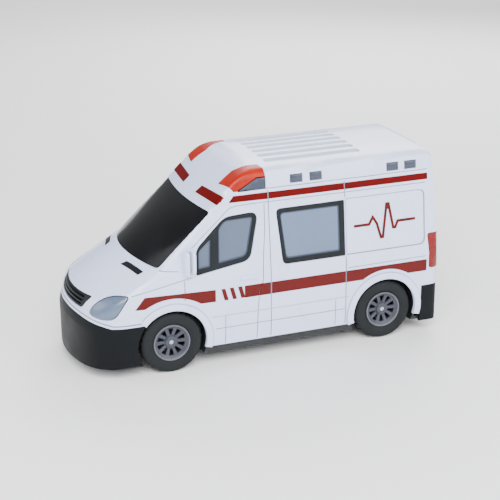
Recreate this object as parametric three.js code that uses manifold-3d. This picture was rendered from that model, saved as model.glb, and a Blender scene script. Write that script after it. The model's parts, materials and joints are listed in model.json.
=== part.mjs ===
// Toy ambulance van: moulded shell on a chassis tray, with a bump-and-turn drive under the cab.
// Millimetres, +X to the nose, +Y to the van's left, +Z up, origin on the ground under the middle.
import * as THREE from 'three';
import { mergeVertices } from 'three/addons/utils/BufferGeometryUtils.js';
import Module from 'manifold-3d';

const wasm = await Module();
wasm.setup();

// Overall sizes
const LENGTH = 272;
const WIDTH = 104;
const HEIGHT = 141;
const FRONT_OVERHANG = 64.5;
const REAR_OVERHANG = 44.5;
const WHEEL_RADIUS = 22.5;

// Walls and clearances
const WALL = 2;
const GAP = 0.3;
const RUNNING_GAP = 0.25;

// Heights of the body
const SKIRT_Z = 9;
const SILL_Z = 16;
const ROCKER_Z = 29;
const BELT_Z = 63;
const BUMPER_TOP_Z = 39.4;
const NOSE_LIP_Z = 45.3;
const REAR_BUMPER_TOP_Z = 38;

// Side profile, measured back from the nose and down from the roof
const TUMBLEHOME = THREE.MathUtils.degToRad(6);
const ROCKER_TUCK = 2;
const ROOF_ROUND = 9;
const ROOF_CROWN = 1.8;
const LEDGE_DROP = 16;
const LEDGE_STEP = 0.6;
const DOME_BACK = 139;
const DOME_REACH = 16.5;
const BROW_BACK = 100.9;
const BROW_DROP = 18.3;
const SCREEN_TOP_BACK = 90.6;
const SCREEN_TOP_DROP = 27;
const SCREEN_BASE_BACK = 45;
const SCREEN_BASE_Z = 81;
const HOOD_EDGE_BACK = 8.5;
const HOOD_EDGE_Z = 59.5;
const HOOD_MID_BACK = 26;
const HOOD_MID_SHARE = 0.52;
const REAR_LEAN = 5;
const REAR_ROUND = 12;

// Bow of the nose and windscreen across the van
const BOW_AT_BROW = 4.2;
const BOW_AT_HOOD = 10.5;
const HOOD_SAG = 3.4;
const BOW_SPAN = 45;
const BOW_STEPS = 6;

// Plan of the body
const NOSE_TAPER = 46;
const NOSE_CORNER = 22;
const REAR_CORNER = 14;

// Wheel arches and flares
const ARCH_GAP = 2.5;
const FLARE_BAND = 4.7;
const FLARE_STAND = 1;
const WELL_GAP = 4.5;
const WELL_WALL = 1.5;

// Wheels and axles
const TYRE_WIDTH = 15;
const TYRE_INSET = 2;
const RIM_RADIUS = 13.4;
const RIM_SPOKES = 10;
const AXLE_RADIUS = 1.5;
const HUB_RADIUS = 4;
const RIM_FACE = 2.2;

// Windows
const CAB_BACK = 138;
const CABIN_LONG = 57.5;
const WINDOW_LIFT = 7.2;
const WINDOW_UNDER_BROW = 13;
const DOOR_WINDOW_BACK = 82.7;
const DOOR_WINDOW_LONG = 47.1;
const CABIN_WINDOW_BACK = 5.7;
const CABIN_WINDOW_LONG = 52;
const REAR_PANE_IN = 5;
const REAR_PANE_MARGIN = 16;
const FRAME_SINK = 0.3;
const FRAME_THICK = 0.9;
const GLASS_SINK = 1.5;
const GLASS_BACK = 3.5;
const GLASS_FLANGE = 2.5;

// Chassis tray
const FLOOR_Z = 10;
const FLOOR_THICK = 2.5;
const TRAY_TOP_Z = 24;

// Turret and drive wheels
const TURRET_BACK = 106;
const TURRET_RADIUS = 21;
const TURRET_CLEARANCE = 0.6;
const DRIVE_WHEEL_RADIUS = 9;
const DRIVE_WHEEL_WIDTH = 5;
const DRIVE_TRACK = 22;
const DRIVE_AXLE_RADIUS = 1;
const CUP_HEADROOM = 1.4;
const NECK_RADIUS = 5;
const SHAFT_RADIUS = 1.2;
const CROWN_RADIUS = 6.4;
const CROWN_TEETH = 12;

// Gear train
const GEAR_MODULE = 1;
const PINION_MODULE = 0.6;
const PINION_TEETH = 8;
const SMALL_TEETH = 8;
const LARGE_TEETH = 24;
const GEAR_FACE = 4;
const ADDENDUM = 0.8;
const DEDENDUM = 1.2;
const ROOT_SHARE = 0.26;
const TIP_SHARE = 0.1;
const COVER_WALL = 1.5;

// Motor
const MOTOR_RADIUS = 10;
const MOTOR_FLAT = 7.7;
const MOTOR_LENGTH = 25;

// Batteries
const CELL_RADIUS = 7.1;
const CELL_LENGTH = 50.5;
const CELL_PITCH = 14.8;
const CELLS = ['left', 'middle', 'right'];
const CONTACT_THICK = 0.8;
const BAY_BACK = 138.6;
const BAY_WALL = 1.5;
const DOOR_THICK = 2;

// Speaker and switch
const SPEAKER_RADIUS = 14;
const SPEAKER_FROM_REAR = 23;
const SWITCH_TRAVEL = 4;
const SWITCH_HALF_LONG = 12;
const SWITCH_HALF_WIDE = 6.5;
const SWITCH_SLOT_LONG = 6;
const SWITCH_SLOT_WIDE = 3;

// Beacons and their reflectors
const LENS_SINK = 0.6;
const LENS_THICK = 1.6;
const DIAGONAL_RUN = 15;
const BEACON_INNER = 32.5;
const BEACON_SLANT = 4.5;

// Door mirrors
const MIRROR_STAND = 6.5;
const MIRROR_TALL = 19;
const MIRROR_DEEP = 8;

// Roof ribs, shut lines and the pressed rear panel
const ROOF_GROOVES = 6;
const GROOVE_PITCH = 11;
const GROOVE_WIDTH = 7;
const GROOVE_DEPTH = 1;
const SEAM_WIDTH = 0.7;
const SEAM_DEPTH = 0.6;
const PANEL_DEPTH = 0.5;
const DOOR_SEAM_BACK = 74;
const HANDLE_BACK = 115;
const HANDLE_LONG = 14;
const HANDLE_TALL = 3;
const HANDLE_STAND = 0.9;

// Windscreen, grille and marker lenses
const SCREEN_THICK = 1.6;
const SCREEN_MARGIN = 6;
const SCREEN_TOP_MARGIN = 7.8;
const GRILLE_BARS = 2;
const GRILLE_MARGIN = 25.2;
const GRILLE_TOP_MARGIN = 20.5;
const GRILLE_SLOT_MARGIN = 28;
const MARKER_BACKS = [17.1, 31.9, 91.7, 105.9];
const MARKER_LONG = 9.6;
const MARKER_TALL = 6.2;

// Turret cheeks and crown gear
const CHEEK_IN = 5.9;
const CHEEK_OUT = 7.3;
const CROWN_FACE = 3.2;
const CROWN_BACK = 5.2;

const NOSE_X = LENGTH / 2;
const REAR_X = -LENGTH / 2;
const HALF = WIDTH / 2;
const FRONT_AXLE_X = NOSE_X - FRONT_OVERHANG;
const REAR_AXLE_X = REAR_X + REAR_OVERHANG;
const BROW_Z = HEIGHT - BROW_DROP;
const SCREEN_TOP_Z = HEIGHT - SCREEN_TOP_DROP;
const LEDGE_Z = HEIGHT - LEDGE_DROP;
const HOOD_MID_Z = THREE.MathUtils.lerp(HOOD_EDGE_Z, SCREEN_BASE_Z, HOOD_MID_SHARE);
const ARCH_RADIUS = WHEEL_RADIUS + ARCH_GAP;
const BELOW = -20;
const FAR = 400;
const REFLECTOR_SINK = LENS_SINK + LENS_THICK + GAP;
const SIDES = [['left', 1], ['right', -1]];

// Materials
function finish(color, roughness, metalness = 0) {
  return new THREE.MeshStandardMaterial({ color, roughness, metalness });
}
const WHITE_ABS = finish(0xf1f2f6, 0.35);
const CHARCOAL = finish(0x2b3136, 0.5);
const DARK_SCREEN = finish(0x121519, 0.12);
const FROSTED = finish(0x9fb0c0, 0.4);
const BEACON_RED = finish(0xd8380a, 0.25);
const REFLECTOR_GREY = finish(0x7e8398, 0.35);
const MARKER_GREY = finish(0x6a7490, 0.4);
const TAIL_RED = finish(0xa01a14, 0.3);
const RUBBER = finish(0x2a2f31, 0.85);
const RIM_GREY = finish(0x5a5d6c, 0.45);
const STEEL = finish(0xb8bcc0, 0.3, 1);
const NYLON = finish(0xe6e2d4, 0.5);
const BLACK_ABS = finish(0x1c1e20, 0.55);
const BOARD_GREEN = finish(0x2f6b45, 0.6);
const CELL_GREEN = finish(0x4f6f58, 0.45);

const van = new THREE.Group();

// Closed solids from three.js geometry, and back
function toSolid(geometry) {
  const bare = geometry.index ? geometry.toNonIndexed() : geometry;
  bare.deleteAttribute('normal');
  bare.deleteAttribute('uv');
  const merged = mergeVertices(bare, 1e-4);
  const index = merged.index.array;
  const kept = [];
  for (let i = 0; i < index.length; i += 3) {
    const [a, b, c] = [index[i], index[i + 1], index[i + 2]];
    if (a !== b && b !== c && c !== a) kept.push(a, b, c);
  }
  return new wasm.Manifold(new wasm.Mesh({
    numProp: 3,
    vertProperties: new Float32Array(merged.attributes.position.array),
    triVerts: new Uint32Array(kept),
  }));
}

function toGeometry(solid) {
  const { vertProperties, triVerts } = solid.getMesh();
  const geometry = new THREE.BufferGeometry();
  geometry.setAttribute('position', new THREE.BufferAttribute(new Float32Array(vertProperties), 3));
  geometry.setIndex(new THREE.BufferAttribute(new Uint32Array(triVerts), 1));
  geometry.computeVertexNormals();
  return geometry;
}

function add(name, solid, material, x = 0, y = 0, z = 0) {
  const mesh = new THREE.Mesh(toGeometry(solid), material);
  mesh.name = name;
  mesh.position.set(x, y, z);
  van.add(mesh);
}

const joined = (...solids) => solids.reduce((whole, next) => whole.add(next));
const cut = (solid, ...tools) => tools.reduce((left, tool) => left.subtract(tool), solid);

// Outlines
const at = (x, y) => new THREE.Vector2(x, y);

function loopOf(path, segments) {
  const all = path.getPoints(segments);
  const points = all.filter((point, i) => point.distanceTo(all.at(i - 1)) > 1e-6);
  return THREE.ShapeUtils.area(points) < 0 ? points.reverse() : points;
}

// Each corner is [across, up, radius]
function roundedLoop(corners, segments = 2) {
  const path = new THREE.Path();
  corners.forEach(([x, y, radius], i) => {
    const here = at(x, y);
    const toward = ([px, py]) => here.clone().add(at(px, py).sub(here).setLength(radius));
    const start = toward(corners.at(i - 1));
    const end = toward(corners[(i + 1) % corners.length]);
    if (i === 0) path.moveTo(start.x, start.y);
    else path.lineTo(start.x, start.y);
    path.quadraticCurveTo(x, y, end.x, end.y);
  });
  path.closePath();
  return loopOf(path, segments);
}

function insetLoop(loop, distance) {
  return loop.map((point, i) => {
    const before = point.clone().sub(loop.at(i - 1)).normalize();
    const after = loop[(i + 1) % loop.length].clone().sub(point).normalize();
    const inward = at(-before.y - after.y, before.x + after.x);
    return point.clone().addScaledVector(inward, distance / (1 + before.dot(after)));
  });
}

const mirrored = (loop) => loop.map((p) => at(-p.x, p.y)).reverse();

function rectangle(x0, x1, y0, y1, radius = 0, segments = 2) {
  return roundedLoop([[x0, y0, radius], [x1, y0, radius], [x1, y1, radius], [x0, y1, radius]], segments);
}

// Prisms: an outline drawn in two axes and carried along the third
const AXES = [0, 1, 2].map((i) => new THREE.Vector3().setComponent(i, 1));
const LOOK_X = new THREE.Matrix4().makeBasis(AXES[1], AXES[2], AXES[0]);
const LOOK_Y = new THREE.Matrix4().makeBasis(AXES[0], AXES[2], AXES[1].clone().negate());

function extruded(loop, depth, steps = 1) {
  return new THREE.ExtrudeGeometry(new THREE.Shape(loop), { depth, steps, bevelEnabled: false });
}

function alongX(loop, x0, x1) {
  return toSolid(extruded(loop, x1 - x0).translate(0, 0, x0).applyMatrix4(LOOK_X));
}

function alongY(loop, y0, y1) {
  return toSolid(extruded(loop, y1 - y0).translate(0, 0, -y1).applyMatrix4(LOOK_Y));
}

function alongZ(loop, z0, z1) {
  return toSolid(extruded(loop, z1 - z0).translate(0, 0, z0));
}

// A prism on one flank: from the middle plane outwards on the given side
const flank = (loop, side) => (side > 0 ? alongY(loop, 5, FAR) : alongY(loop, -FAR, -5));

function block(x0, x1, y0, y1, z0, z1) {
  const box = new THREE.BoxGeometry(x1 - x0, y1 - y0, z1 - z0);
  return toSolid(box.translate((x0 + x1) / 2, (y0 + y1) / 2, (z0 + z1) / 2));
}

function post(radius, z0, z1, x = 0, y = 0, sides = 16) {
  const cylinder = new THREE.CylinderGeometry(radius, radius, z1 - z0, sides).rotateX(Math.PI / 2);
  return toSolid(cylinder.translate(x, y, (z0 + z1) / 2));
}

function rod(radius, y0, y1, x = 0, z = 0, sides = 12) {
  const cylinder = new THREE.CylinderGeometry(radius, radius, y1 - y0, sides);
  return toSolid(cylinder.translate(x, (y0 + y1) / 2, z));
}

// Turned about +Y; the profile is a list of [radius, y]
function turned(profile, segments) {
  return toSolid(new THREE.LatheGeometry(profile.map(([r, y]) => at(r, y)), segments));
}

// Outer form of the van: bowed side profile, tumblehome section and rounded plan, met together
const PROFILE = loopOf(new THREE.Path()
  .moveTo(REAR_X, BELOW)
  .lineTo(REAR_X, BUMPER_TOP_Z)
  .lineTo(REAR_X + REAR_LEAN, HEIGHT - REAR_ROUND)
  .quadraticCurveTo(REAR_X + REAR_LEAN, HEIGHT, REAR_X + REAR_LEAN + REAR_ROUND, HEIGHT)
  .lineTo(NOSE_X - DOME_BACK, HEIGHT)
  .quadraticCurveTo(NOSE_X - DOME_BACK + DOME_REACH, HEIGHT, NOSE_X - BROW_BACK, BROW_Z)
  .lineTo(NOSE_X - SCREEN_TOP_BACK, SCREEN_TOP_Z)
  .lineTo(NOSE_X - SCREEN_BASE_BACK, SCREEN_BASE_Z)
  .quadraticCurveTo(NOSE_X - HOOD_MID_BACK, HOOD_MID_Z, NOSE_X - HOOD_EDGE_BACK, HOOD_EDGE_Z)
  .quadraticCurveTo(NOSE_X - 4.5, HOOD_EDGE_Z - 3, NOSE_X - 3, HOOD_EDGE_Z - 10)
  .lineTo(NOSE_X - 1, NOSE_LIP_Z - 2)
  .lineTo(NOSE_X, BUMPER_TOP_Z)
  .lineTo(NOSE_X, BELOW), 4);

const sideY = (z) => HALF - Math.tan(TUMBLEHOME) * Math.max(0, z - BELT_Z);
const roofEdgeY = sideY(HEIGHT - ROOF_ROUND) - LEDGE_STEP;
const SECTION_HALF = new THREE.Path()
  .moveTo(HALF - ROCKER_TUCK, BELOW)
  .lineTo(HALF - ROCKER_TUCK, SKIRT_Z)
  .lineTo(HALF, ROCKER_Z)
  .lineTo(HALF, BELT_Z)
  .lineTo(sideY(LEDGE_Z), LEDGE_Z)
  .lineTo(sideY(LEDGE_Z) - LEDGE_STEP, LEDGE_Z + LEDGE_STEP)
  .lineTo(roofEdgeY, HEIGHT - ROOF_ROUND)
  .quadraticCurveTo(roofEdgeY, HEIGHT - ROOF_CROWN, roofEdgeY - ROOF_ROUND, HEIGHT - ROOF_CROWN)
  .quadraticCurveTo(roofEdgeY / 2, HEIGHT, 0, HEIGHT)
  .getPoints(3);
const SECTION = [...SECTION_HALF, ...SECTION_HALF.slice(0, -1).reverse().map((p) => at(-p.x, p.y))];

const PLAN_HALF = new THREE.Path()
  .moveTo(REAR_X, 0)
  .lineTo(REAR_X, HALF - REAR_CORNER)
  .quadraticCurveTo(REAR_X, HALF, REAR_X + REAR_CORNER, HALF)
  .lineTo(NOSE_X - NOSE_TAPER, HALF)
  .quadraticCurveTo(NOSE_X - 15, HALF, NOSE_X - 2, HALF - NOSE_CORNER)
  .lineTo(NOSE_X + 6, HALF - NOSE_CORNER - 12)
  .lineTo(NOSE_X + 6, 0)
  .getPoints(4);
const PLAN_LEFT = PLAN_HALF.slice(1, -1);
const PLAN = [...PLAN_LEFT, ...PLAN_LEFT.toReversed().map((p) => at(p.x, -p.y))].reverse();

function bowed(inset) {
  const geometry = extruded(insetLoop(PROFILE, inset), WIDTH + 8, BOW_STEPS)
    .translate(0, 0, -HALF - 4)
    .applyMatrix4(LOOK_Y);
  const { position } = geometry.attributes;
  const hoodDrop = SCREEN_TOP_Z - SCREEN_BASE_Z;
  for (let i = 0; i < position.count; i += 1) {
    const across = (position.getY(i) / BOW_SPAN) ** 2;
    const below = (SCREEN_TOP_Z - position.getZ(i)) / hoodDrop;
    const bow = THREE.MathUtils.clamp(BOW_AT_BROW + (BOW_AT_HOOD - BOW_AT_BROW) * below, 0, BOW_AT_HOOD);
    const sag = THREE.MathUtils.clamp(HOOD_SAG * below, 0, HOOD_SAG);
    if (position.getX(i) > 0) {
      position.setX(i, position.getX(i) - bow * across);
      position.setZ(i, position.getZ(i) - sag * across);
    }
  }
  return toSolid(geometry);
}

const forms = new Map();
function form(inset) {
  if (!forms.has(inset)) {
    const sides = alongX(insetLoop(SECTION, inset), -FAR, FAR);
    forms.set(inset, bowed(inset).intersect(sides).intersect(alongZ(insetLoop(PLAN, inset), -FAR, FAR)));
  }
  return forms.get(inset);
}
const layer = (outer, inner) => form(outer).subtract(form(inner));
const above = (z) => block(-FAR, FAR, -FAR, FAR, z, FAR);
const between = (z0, z1) => block(-FAR, FAR, -FAR, FAR, z0, z1);
const nosePart = (x) => block(x, FAR, -FAR, FAR, -FAR, FAR);
const tailPart = (x) => block(-FAR, x, -FAR, FAR, -FAR, FAR);

// Openings of the shell, as outlines; x runs forward and z up on the flanks
const CAB_X = NOSE_X - CAB_BACK;
const CABIN_X = CAB_X - CABIN_LONG;
const WINDOW_Z = BELT_Z + WINDOW_LIFT;
const WINDOW_TOP_Z = BROW_Z - WINDOW_UNDER_BROW;
const WINDOW_TALL = WINDOW_TOP_Z - WINDOW_Z;

// Side windows: each corner is [back, up, radius] as shares of the window's length and height
function sideWindow(frontX, long, corners) {
  return roundedLoop(corners.map(([back, up, radius]) => (
    [frontX - back * long, WINDOW_Z + up * WINDOW_TALL, radius * WINDOW_TALL])));
}
const doorWindow = (corners) => sideWindow(NOSE_X - DOOR_WINDOW_BACK, DOOR_WINDOW_LONG, corners);
const cabinWindow = (corners) => sideWindow(CAB_X - CABIN_WINDOW_BACK, CABIN_WINDOW_LONG, corners);
const DOOR_WINDOW = doorWindow([
  [0, 0, 0.038], [0.008, 0.468, 0.127], [0.473, 0.975, 0.127], [1, 0.987, 0.1], [0.845, 0.152, 0.152],
]);
const QUARTER_PANE = doorWindow([
  [0.042, 0.106, 0.025], [0.053, 0.43, 0.05], [0.257, 0.633, 0.05], [0.227, 0.127, 0.025],
]);
const DOOR_PANE = doorWindow([
  [0.357, 0.162, 0.025], [0.38, 0.785, 0.05], [0.478, 0.919, 0.076], [0.932, 0.929, 0.076],
  [0.805, 0.228, 0.1],
]);
const CABIN_WINDOW = cabinWindow([[0, 1, 0.1], [1, 1.01, 0.025], [1, 0, 0.025], [0.079, 0, 0.1]]);
const CABIN_PANE = cabinWindow([
  [0.052, 0.929, 0.076], [0.927, 0.934, 0.025], [0.927, 0.086, 0.025], [0.121, 0.081, 0.076],
]);
const MARKERS = MARKER_BACKS.map((back) => [CAB_X - back, CAB_X - back - MARKER_LONG]);
const MARKER_Z = LEDGE_Z + 1.8;
function markerLoop([x1, x0], extra = 0) {
  return rectangle(x0 - extra, x1 + extra, MARKER_Z - extra, MARKER_Z + MARKER_TALL + extra);
}
const SCREEN_OUTLINE = roundedLoop([
  [SCREEN_MARGIN - HALF, SCREEN_BASE_Z - 3.6, 4],
  [0, SCREEN_BASE_Z + 0.4, 30],
  [HALF - SCREEN_MARGIN, SCREEN_BASE_Z - 3.6, 4],
  [HALF - SCREEN_TOP_MARGIN, SCREEN_TOP_Z - 0.4, 4],
  [SCREEN_TOP_MARGIN - HALF, SCREEN_TOP_Z - 0.4, 4],
]);
const GRILLE_OUTLINE = roundedLoop([
  [GRILLE_MARGIN - HALF, HOOD_EDGE_Z - 10.5, 3],
  [HALF - GRILLE_MARGIN, HOOD_EDGE_Z - 10.5, 3],
  [HALF - GRILLE_TOP_MARGIN, HOOD_EDGE_Z - 1.2, 2.5],
  [GRILLE_TOP_MARGIN - HALF, HOOD_EDGE_Z - 1.2, 2.5],
]);

// Corner openings look outwards along a diagonal; u runs round the corner and z up
function cornerPrism(loop, side, tail = false) {
  const out = new THREE.Vector3(tail ? -1 : 1, side, 0).normalize();
  const round = new THREE.Vector3().crossVectors(AXES[2], out);
  const basis = new THREE.Matrix4().makeBasis(round, AXES[2], out);
  return toSolid(extruded(loop, 60).translate(0, 0, 90).applyMatrix4(basis));
}
const LAMP_U = (HALF - NOSE_X) / Math.SQRT2 + 9.4;
const LAMP_Z = BELT_Z - 9;
const HEADLAMP = loopOf(new THREE.Path()
  .moveTo(LAMP_U + 14, LAMP_Z + 7.6)
  .quadraticCurveTo(LAMP_U - 8, LAMP_Z + 8.2, LAMP_U - 14, LAMP_Z - 3.4)
  .quadraticCurveTo(LAMP_U - 9, LAMP_Z - 7.6, LAMP_U - 0.5, LAMP_Z - 8.4)
  .quadraticCurveTo(LAMP_U + 8.4, LAMP_Z - 6.4, LAMP_U + 14, LAMP_Z + 7.6)
  .closePath(), 6);
const TAIL_U = (HALF + REAR_X) / Math.SQRT2;
const TAIL_LAMP = rectangle(-TAIL_U - 6.5, -TAIL_U + 3.5, BELT_Z - 12, BELT_Z + 15, 2);
const onSide = (loop, side, tail) => cornerPrism(side > 0 ? loop : mirrored(loop), side, tail);

// Beacon corner of the dome: behind x, outside the slanted inner edge, above the ledge
const BEACON_BACK_X = CAB_X + 1.3;
function beaconPrism(side, margin, floorZ) {
  const loop = [
    at(BEACON_BACK_X + margin, BEACON_INNER + margin),
    at(NOSE_X - BROW_BACK, BEACON_INNER - BEACON_SLANT + margin),
    at(NOSE_X - BROW_BACK, HALF),
    at(BEACON_BACK_X + margin, HALF),
  ];
  const plan = side > 0 ? loop.reverse() : loop.map((p) => at(p.x, -p.y));
  return alongZ(THREE.ShapeUtils.area(plan) < 0 ? plan.reverse() : plan, floorZ + margin, FAR);
}

// Bumper edges seen from the side
const BUMPER_REGION = [
  at(FRONT_AXLE_X, BELOW),
  at(NOSE_X + 20, BELOW),
  at(NOSE_X + 20, NOSE_LIP_Z + 6),
  at(NOSE_X - 2, NOSE_LIP_Z),
  at(NOSE_X - 22, BUMPER_TOP_Z),
  at(FRONT_AXLE_X, BUMPER_TOP_Z),
];
const REAR_BUMPER_X = REAR_AXLE_X - ARCH_RADIUS - FLARE_BAND;
const REAR_REGION = rectangle(REAR_X - 20, REAR_BUMPER_X, BELOW, REAR_BUMPER_TOP_Z);
const AXLE_PLACES = [['front', FRONT_AXLE_X], ['rear', REAR_AXLE_X]];

function archCut(radius) {
  return joined(...AXLE_PLACES.map(([, x]) => rod(radius, -FAR, FAR, x, WHEEL_RADIUS, 32)));
}

function bodyShell() {
  const skin = layer(0, WALL);
  const flares = cut(archCut(ARCH_RADIUS + FLARE_BAND), archCut(ARCH_RADIUS))
    .intersect(layer(-FLARE_STAND, WALL));
  const handleX = NOSE_X - HANDLE_BACK;
  const bar = rectangle(handleX - HANDLE_LONG, handleX, BELT_Z + 0.5, BELT_Z + 0.5 + HANDLE_TALL, 1);
  const handles = joined(flank(bar, 1), flank(bar, -1)).intersect(layer(-HANDLE_STAND, WALL));
  let shell = cut(joined(skin, flares, handles), archCut(ARCH_RADIUS));
  shell = shell.intersect(above(SILL_Z));
  shell = cut(shell, alongY(BUMPER_REGION, -FAR, FAR), alongY(REAR_REGION, -FAR, FAR));

  const frontSkin = cut(bowed(-2), bowed(WALL + 0.4));
  shell = cut(shell, frontSkin.intersect(alongX(SCREEN_OUTLINE, 20, FAR)));
  shell = cut(shell, frontSkin.intersect(alongX(GRILLE_OUTLINE, 100, FAR)));
  for (const [, side] of SIDES) {
    shell = cut(shell, flank(DOOR_WINDOW, side), flank(CABIN_WINDOW, side));
    MARKERS.forEach((marker) => { shell = cut(shell, flank(markerLoop(marker), side)); });
    shell = cut(shell, onSide(HEADLAMP, side, false), onSide(TAIL_LAMP, side, true));
    shell = cut(shell, beaconPrism(side, 0, LEDGE_Z + LEDGE_STEP));
    shell = cut(shell, alongX(rearPane(side, 0), -FAR, REAR_X + 20));
  }
  return cut(shell, roofGrooves(), panelLines());
}

// Shallow channels between the roof's long ribs
function roofGrooves() {
  const x1 = NOSE_X - DOME_BACK - 3;
  const x0 = CABIN_X - 20;
  const slots = Array.from({ length: ROOF_GROOVES }, (_, i) => {
    const y = (i - (ROOF_GROOVES - 1) / 2) * GROOVE_PITCH;
    return alongZ(rectangle(x0, x1, y - GROOVE_WIDTH / 2, y + GROOVE_WIDTH / 2), HEIGHT - ROOF_ROUND, FAR);
  });
  return cut(joined(...slots), form(GROOVE_DEPTH));
}

// Door shut lines and the pressed rear panel
function panelLines() {
  const seam = (x, z0, z1) => block(x - SEAM_WIDTH / 2, x + SEAM_WIDTH / 2, -FAR, FAR, z0, z1);
  const seams = joined(
    seam(CAB_X, SILL_Z - 1, BROW_Z - 6),
    seam(CAB_X + 3.2, SILL_Z - 1, BROW_Z - 6),
    seam(CABIN_X, SILL_Z - 1, LEDGE_Z - 1),
    seam(NOSE_X - DOOR_SEAM_BACK, WHEEL_RADIUS + ARCH_RADIUS + FLARE_BAND + 0.5, WINDOW_Z - 1),
  );
  const rearSeam = block(
    -FAR, REAR_X + 20, -SEAM_WIDTH / 2, SEAM_WIDTH / 2, REAR_BUMPER_TOP_Z - 1, HEIGHT - REAR_ROUND,
  );
  const pressing = rectangle(REAR_X + REAR_CORNER + 4, CABIN_X - 4, WINDOW_Z, WINDOW_TOP_Z + 1, 4);
  const pressed = cut(joined(flank(pressing, 1), flank(pressing, -1)), form(PANEL_DEPTH));
  return joined(cut(joined(seams, rearSeam), form(SEAM_DEPTH)), pressed);
}

// Rear door panes, as outlines across the van
function rearPane(side, inset) {
  const loop = insetLoop(
    rectangle(REAR_PANE_IN, HALF - REAR_PANE_MARGIN, WINDOW_Z + 4, WINDOW_TOP_Z, 4),
    inset,
  );
  return side > 0 ? loop : mirrored(loop);
}

// Window frame bedded in the shell's opening, and the pane whose flange seats behind the wall
function windowFrame(outline, panes, side) {
  const ring = flank(insetLoop(outline, GAP), side).intersect(layer(FRAME_SINK, FRAME_SINK + FRAME_THICK));
  return cut(ring, ...panes.map((pane) => flank(pane, side)));
}

function windowGlass(prismOf, outline) {
  const pad = prismOf(insetLoop(outline, GAP)).intersect(layer(GLASS_SINK, GLASS_BACK));
  const flange = prismOf(insetLoop(outline, -GLASS_FLANGE)).intersect(layer(WALL + GAP, GLASS_BACK));
  return pad.add(flange);
}

add('body_shell', bodyShell(), WHITE_ABS);

const bumperSkin = cut(layer(0, WALL).intersect(above(SKIRT_Z)), archCut(ARCH_RADIUS));
add('front_bumper', bumperSkin.intersect(alongY(insetLoop(BUMPER_REGION, GAP), -FAR, FAR)), CHARCOAL);
add('rear_bumper', bumperSkin.intersect(alongY(insetLoop(REAR_REGION, GAP), -FAR, FAR)), CHARCOAL);

const screenSkin = cut(bowed(FRAME_SINK), bowed(FRAME_SINK + SCREEN_THICK));
add('windscreen', screenSkin.intersect(alongX(insetLoop(SCREEN_OUTLINE, GAP), 20, FAR)), DARK_SCREEN);

function grille() {
  const plate = cut(bowed(2 * FRAME_SINK), bowed(WALL + 2 * FRAME_SINK))
    .intersect(alongX(insetLoop(GRILLE_OUTLINE, GAP), 100, FAR));
  const slots = Array.from({ length: GRILLE_BARS }, (_, i) => {
    const z = HOOD_EDGE_Z - 8.2 + i * 3;
    return block(100, FAR, GRILLE_SLOT_MARGIN - HALF, HALF - GRILLE_SLOT_MARGIN, z, z + 1.2);
  });
  return cut(plate, ...slots);
}
add('front_grille', grille(), CHARCOAL);

for (const [name, side] of SIDES) {
  const onFlank = (loop) => flank(loop, side);
  add(`door_window_frame_${name}`, windowFrame(DOOR_WINDOW, [QUARTER_PANE, DOOR_PANE], side), CHARCOAL);
  add(`door_glass_${name}`, windowGlass(onFlank, DOOR_WINDOW), FROSTED);
  add(`cabin_window_frame_${name}`, windowFrame(CABIN_WINDOW, [CABIN_PANE], side), CHARCOAL);
  add(`cabin_glass_${name}`, windowGlass(onFlank, CABIN_WINDOW), FROSTED);

  const rearPrism = (loop) => alongX(loop, -FAR, REAR_X + 20);
  add(`rear_glass_${name}`, windowGlass(rearPrism, rearPane(side, 0)), DARK_SCREEN);

  const headlamp = onSide(insetLoop(HEADLAMP, GAP), side, false);
  add(`headlight_lens_${name}`, headlamp.intersect(layer(FRAME_SINK, WALL + FRAME_SINK)), FROSTED);
  const tail = onSide(insetLoop(TAIL_LAMP, GAP), side, true);
  add(`tail_lamp_${name}`, tail.intersect(layer(-FRAME_SINK, WALL)), TAIL_RED);

  add(`marker_lens_${name}`, markerLens(side), MARKER_GREY);
  add(`beacon_lens_${name}`, beaconLens(side), BEACON_RED);
  add(`beacon_reflector_${name}`, beaconReflector(side), REFLECTOR_GREY);
  add(`mirror_${name}`, doorMirror(side), WHITE_ABS);
}

// One light strip a side: four pads show through the wall, joined by a bar behind it
function markerLens(side) {
  const bar = rectangle(MARKERS.at(-1)[1] - 2, MARKERS[0][0] + 2, MARKER_Z - 0.5, MARKER_Z + MARKER_TALL - 1);
  const pads = MARKERS.map((marker) => flank(markerLoop(marker, -GAP), side));
  return joined(
    joined(...pads).intersect(layer(FRAME_SINK, WALL + 1.5)),
    flank(bar, side).intersect(layer(WALL + GAP, WALL + 1.5)),
  );
}

function beaconLens(side) {
  const cap = beaconPrism(side, GAP, LEDGE_Z + LEDGE_STEP)
    .intersect(layer(LENS_SINK, LENS_SINK + LENS_THICK));
  const corner = roundedLoop([
    [BEACON_BACK_X - 10, LEDGE_Z - 5, 0],
    [BEACON_BACK_X + 1.5 * DIAGONAL_RUN, LEDGE_Z - 5, 0],
    [BEACON_BACK_X + 1.4 * DIAGONAL_RUN, LEDGE_Z + 1, 0],
    [BEACON_BACK_X + 0.4 * DIAGONAL_RUN, LEDGE_Z + 9, 0],
    [BEACON_BACK_X - 10, LEDGE_Z + 9, 0],
  ]);
  return cut(cap, flank(corner, side));
}

function beaconReflector(side) {
  const floorZ = LEDGE_Z - GLASS_FLANGE;
  return beaconPrism(side, -GLASS_FLANGE, floorZ + GLASS_FLANGE)
    .intersect(layer(REFLECTOR_SINK, REFLECTOR_SINK + 1.2));
}

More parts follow.
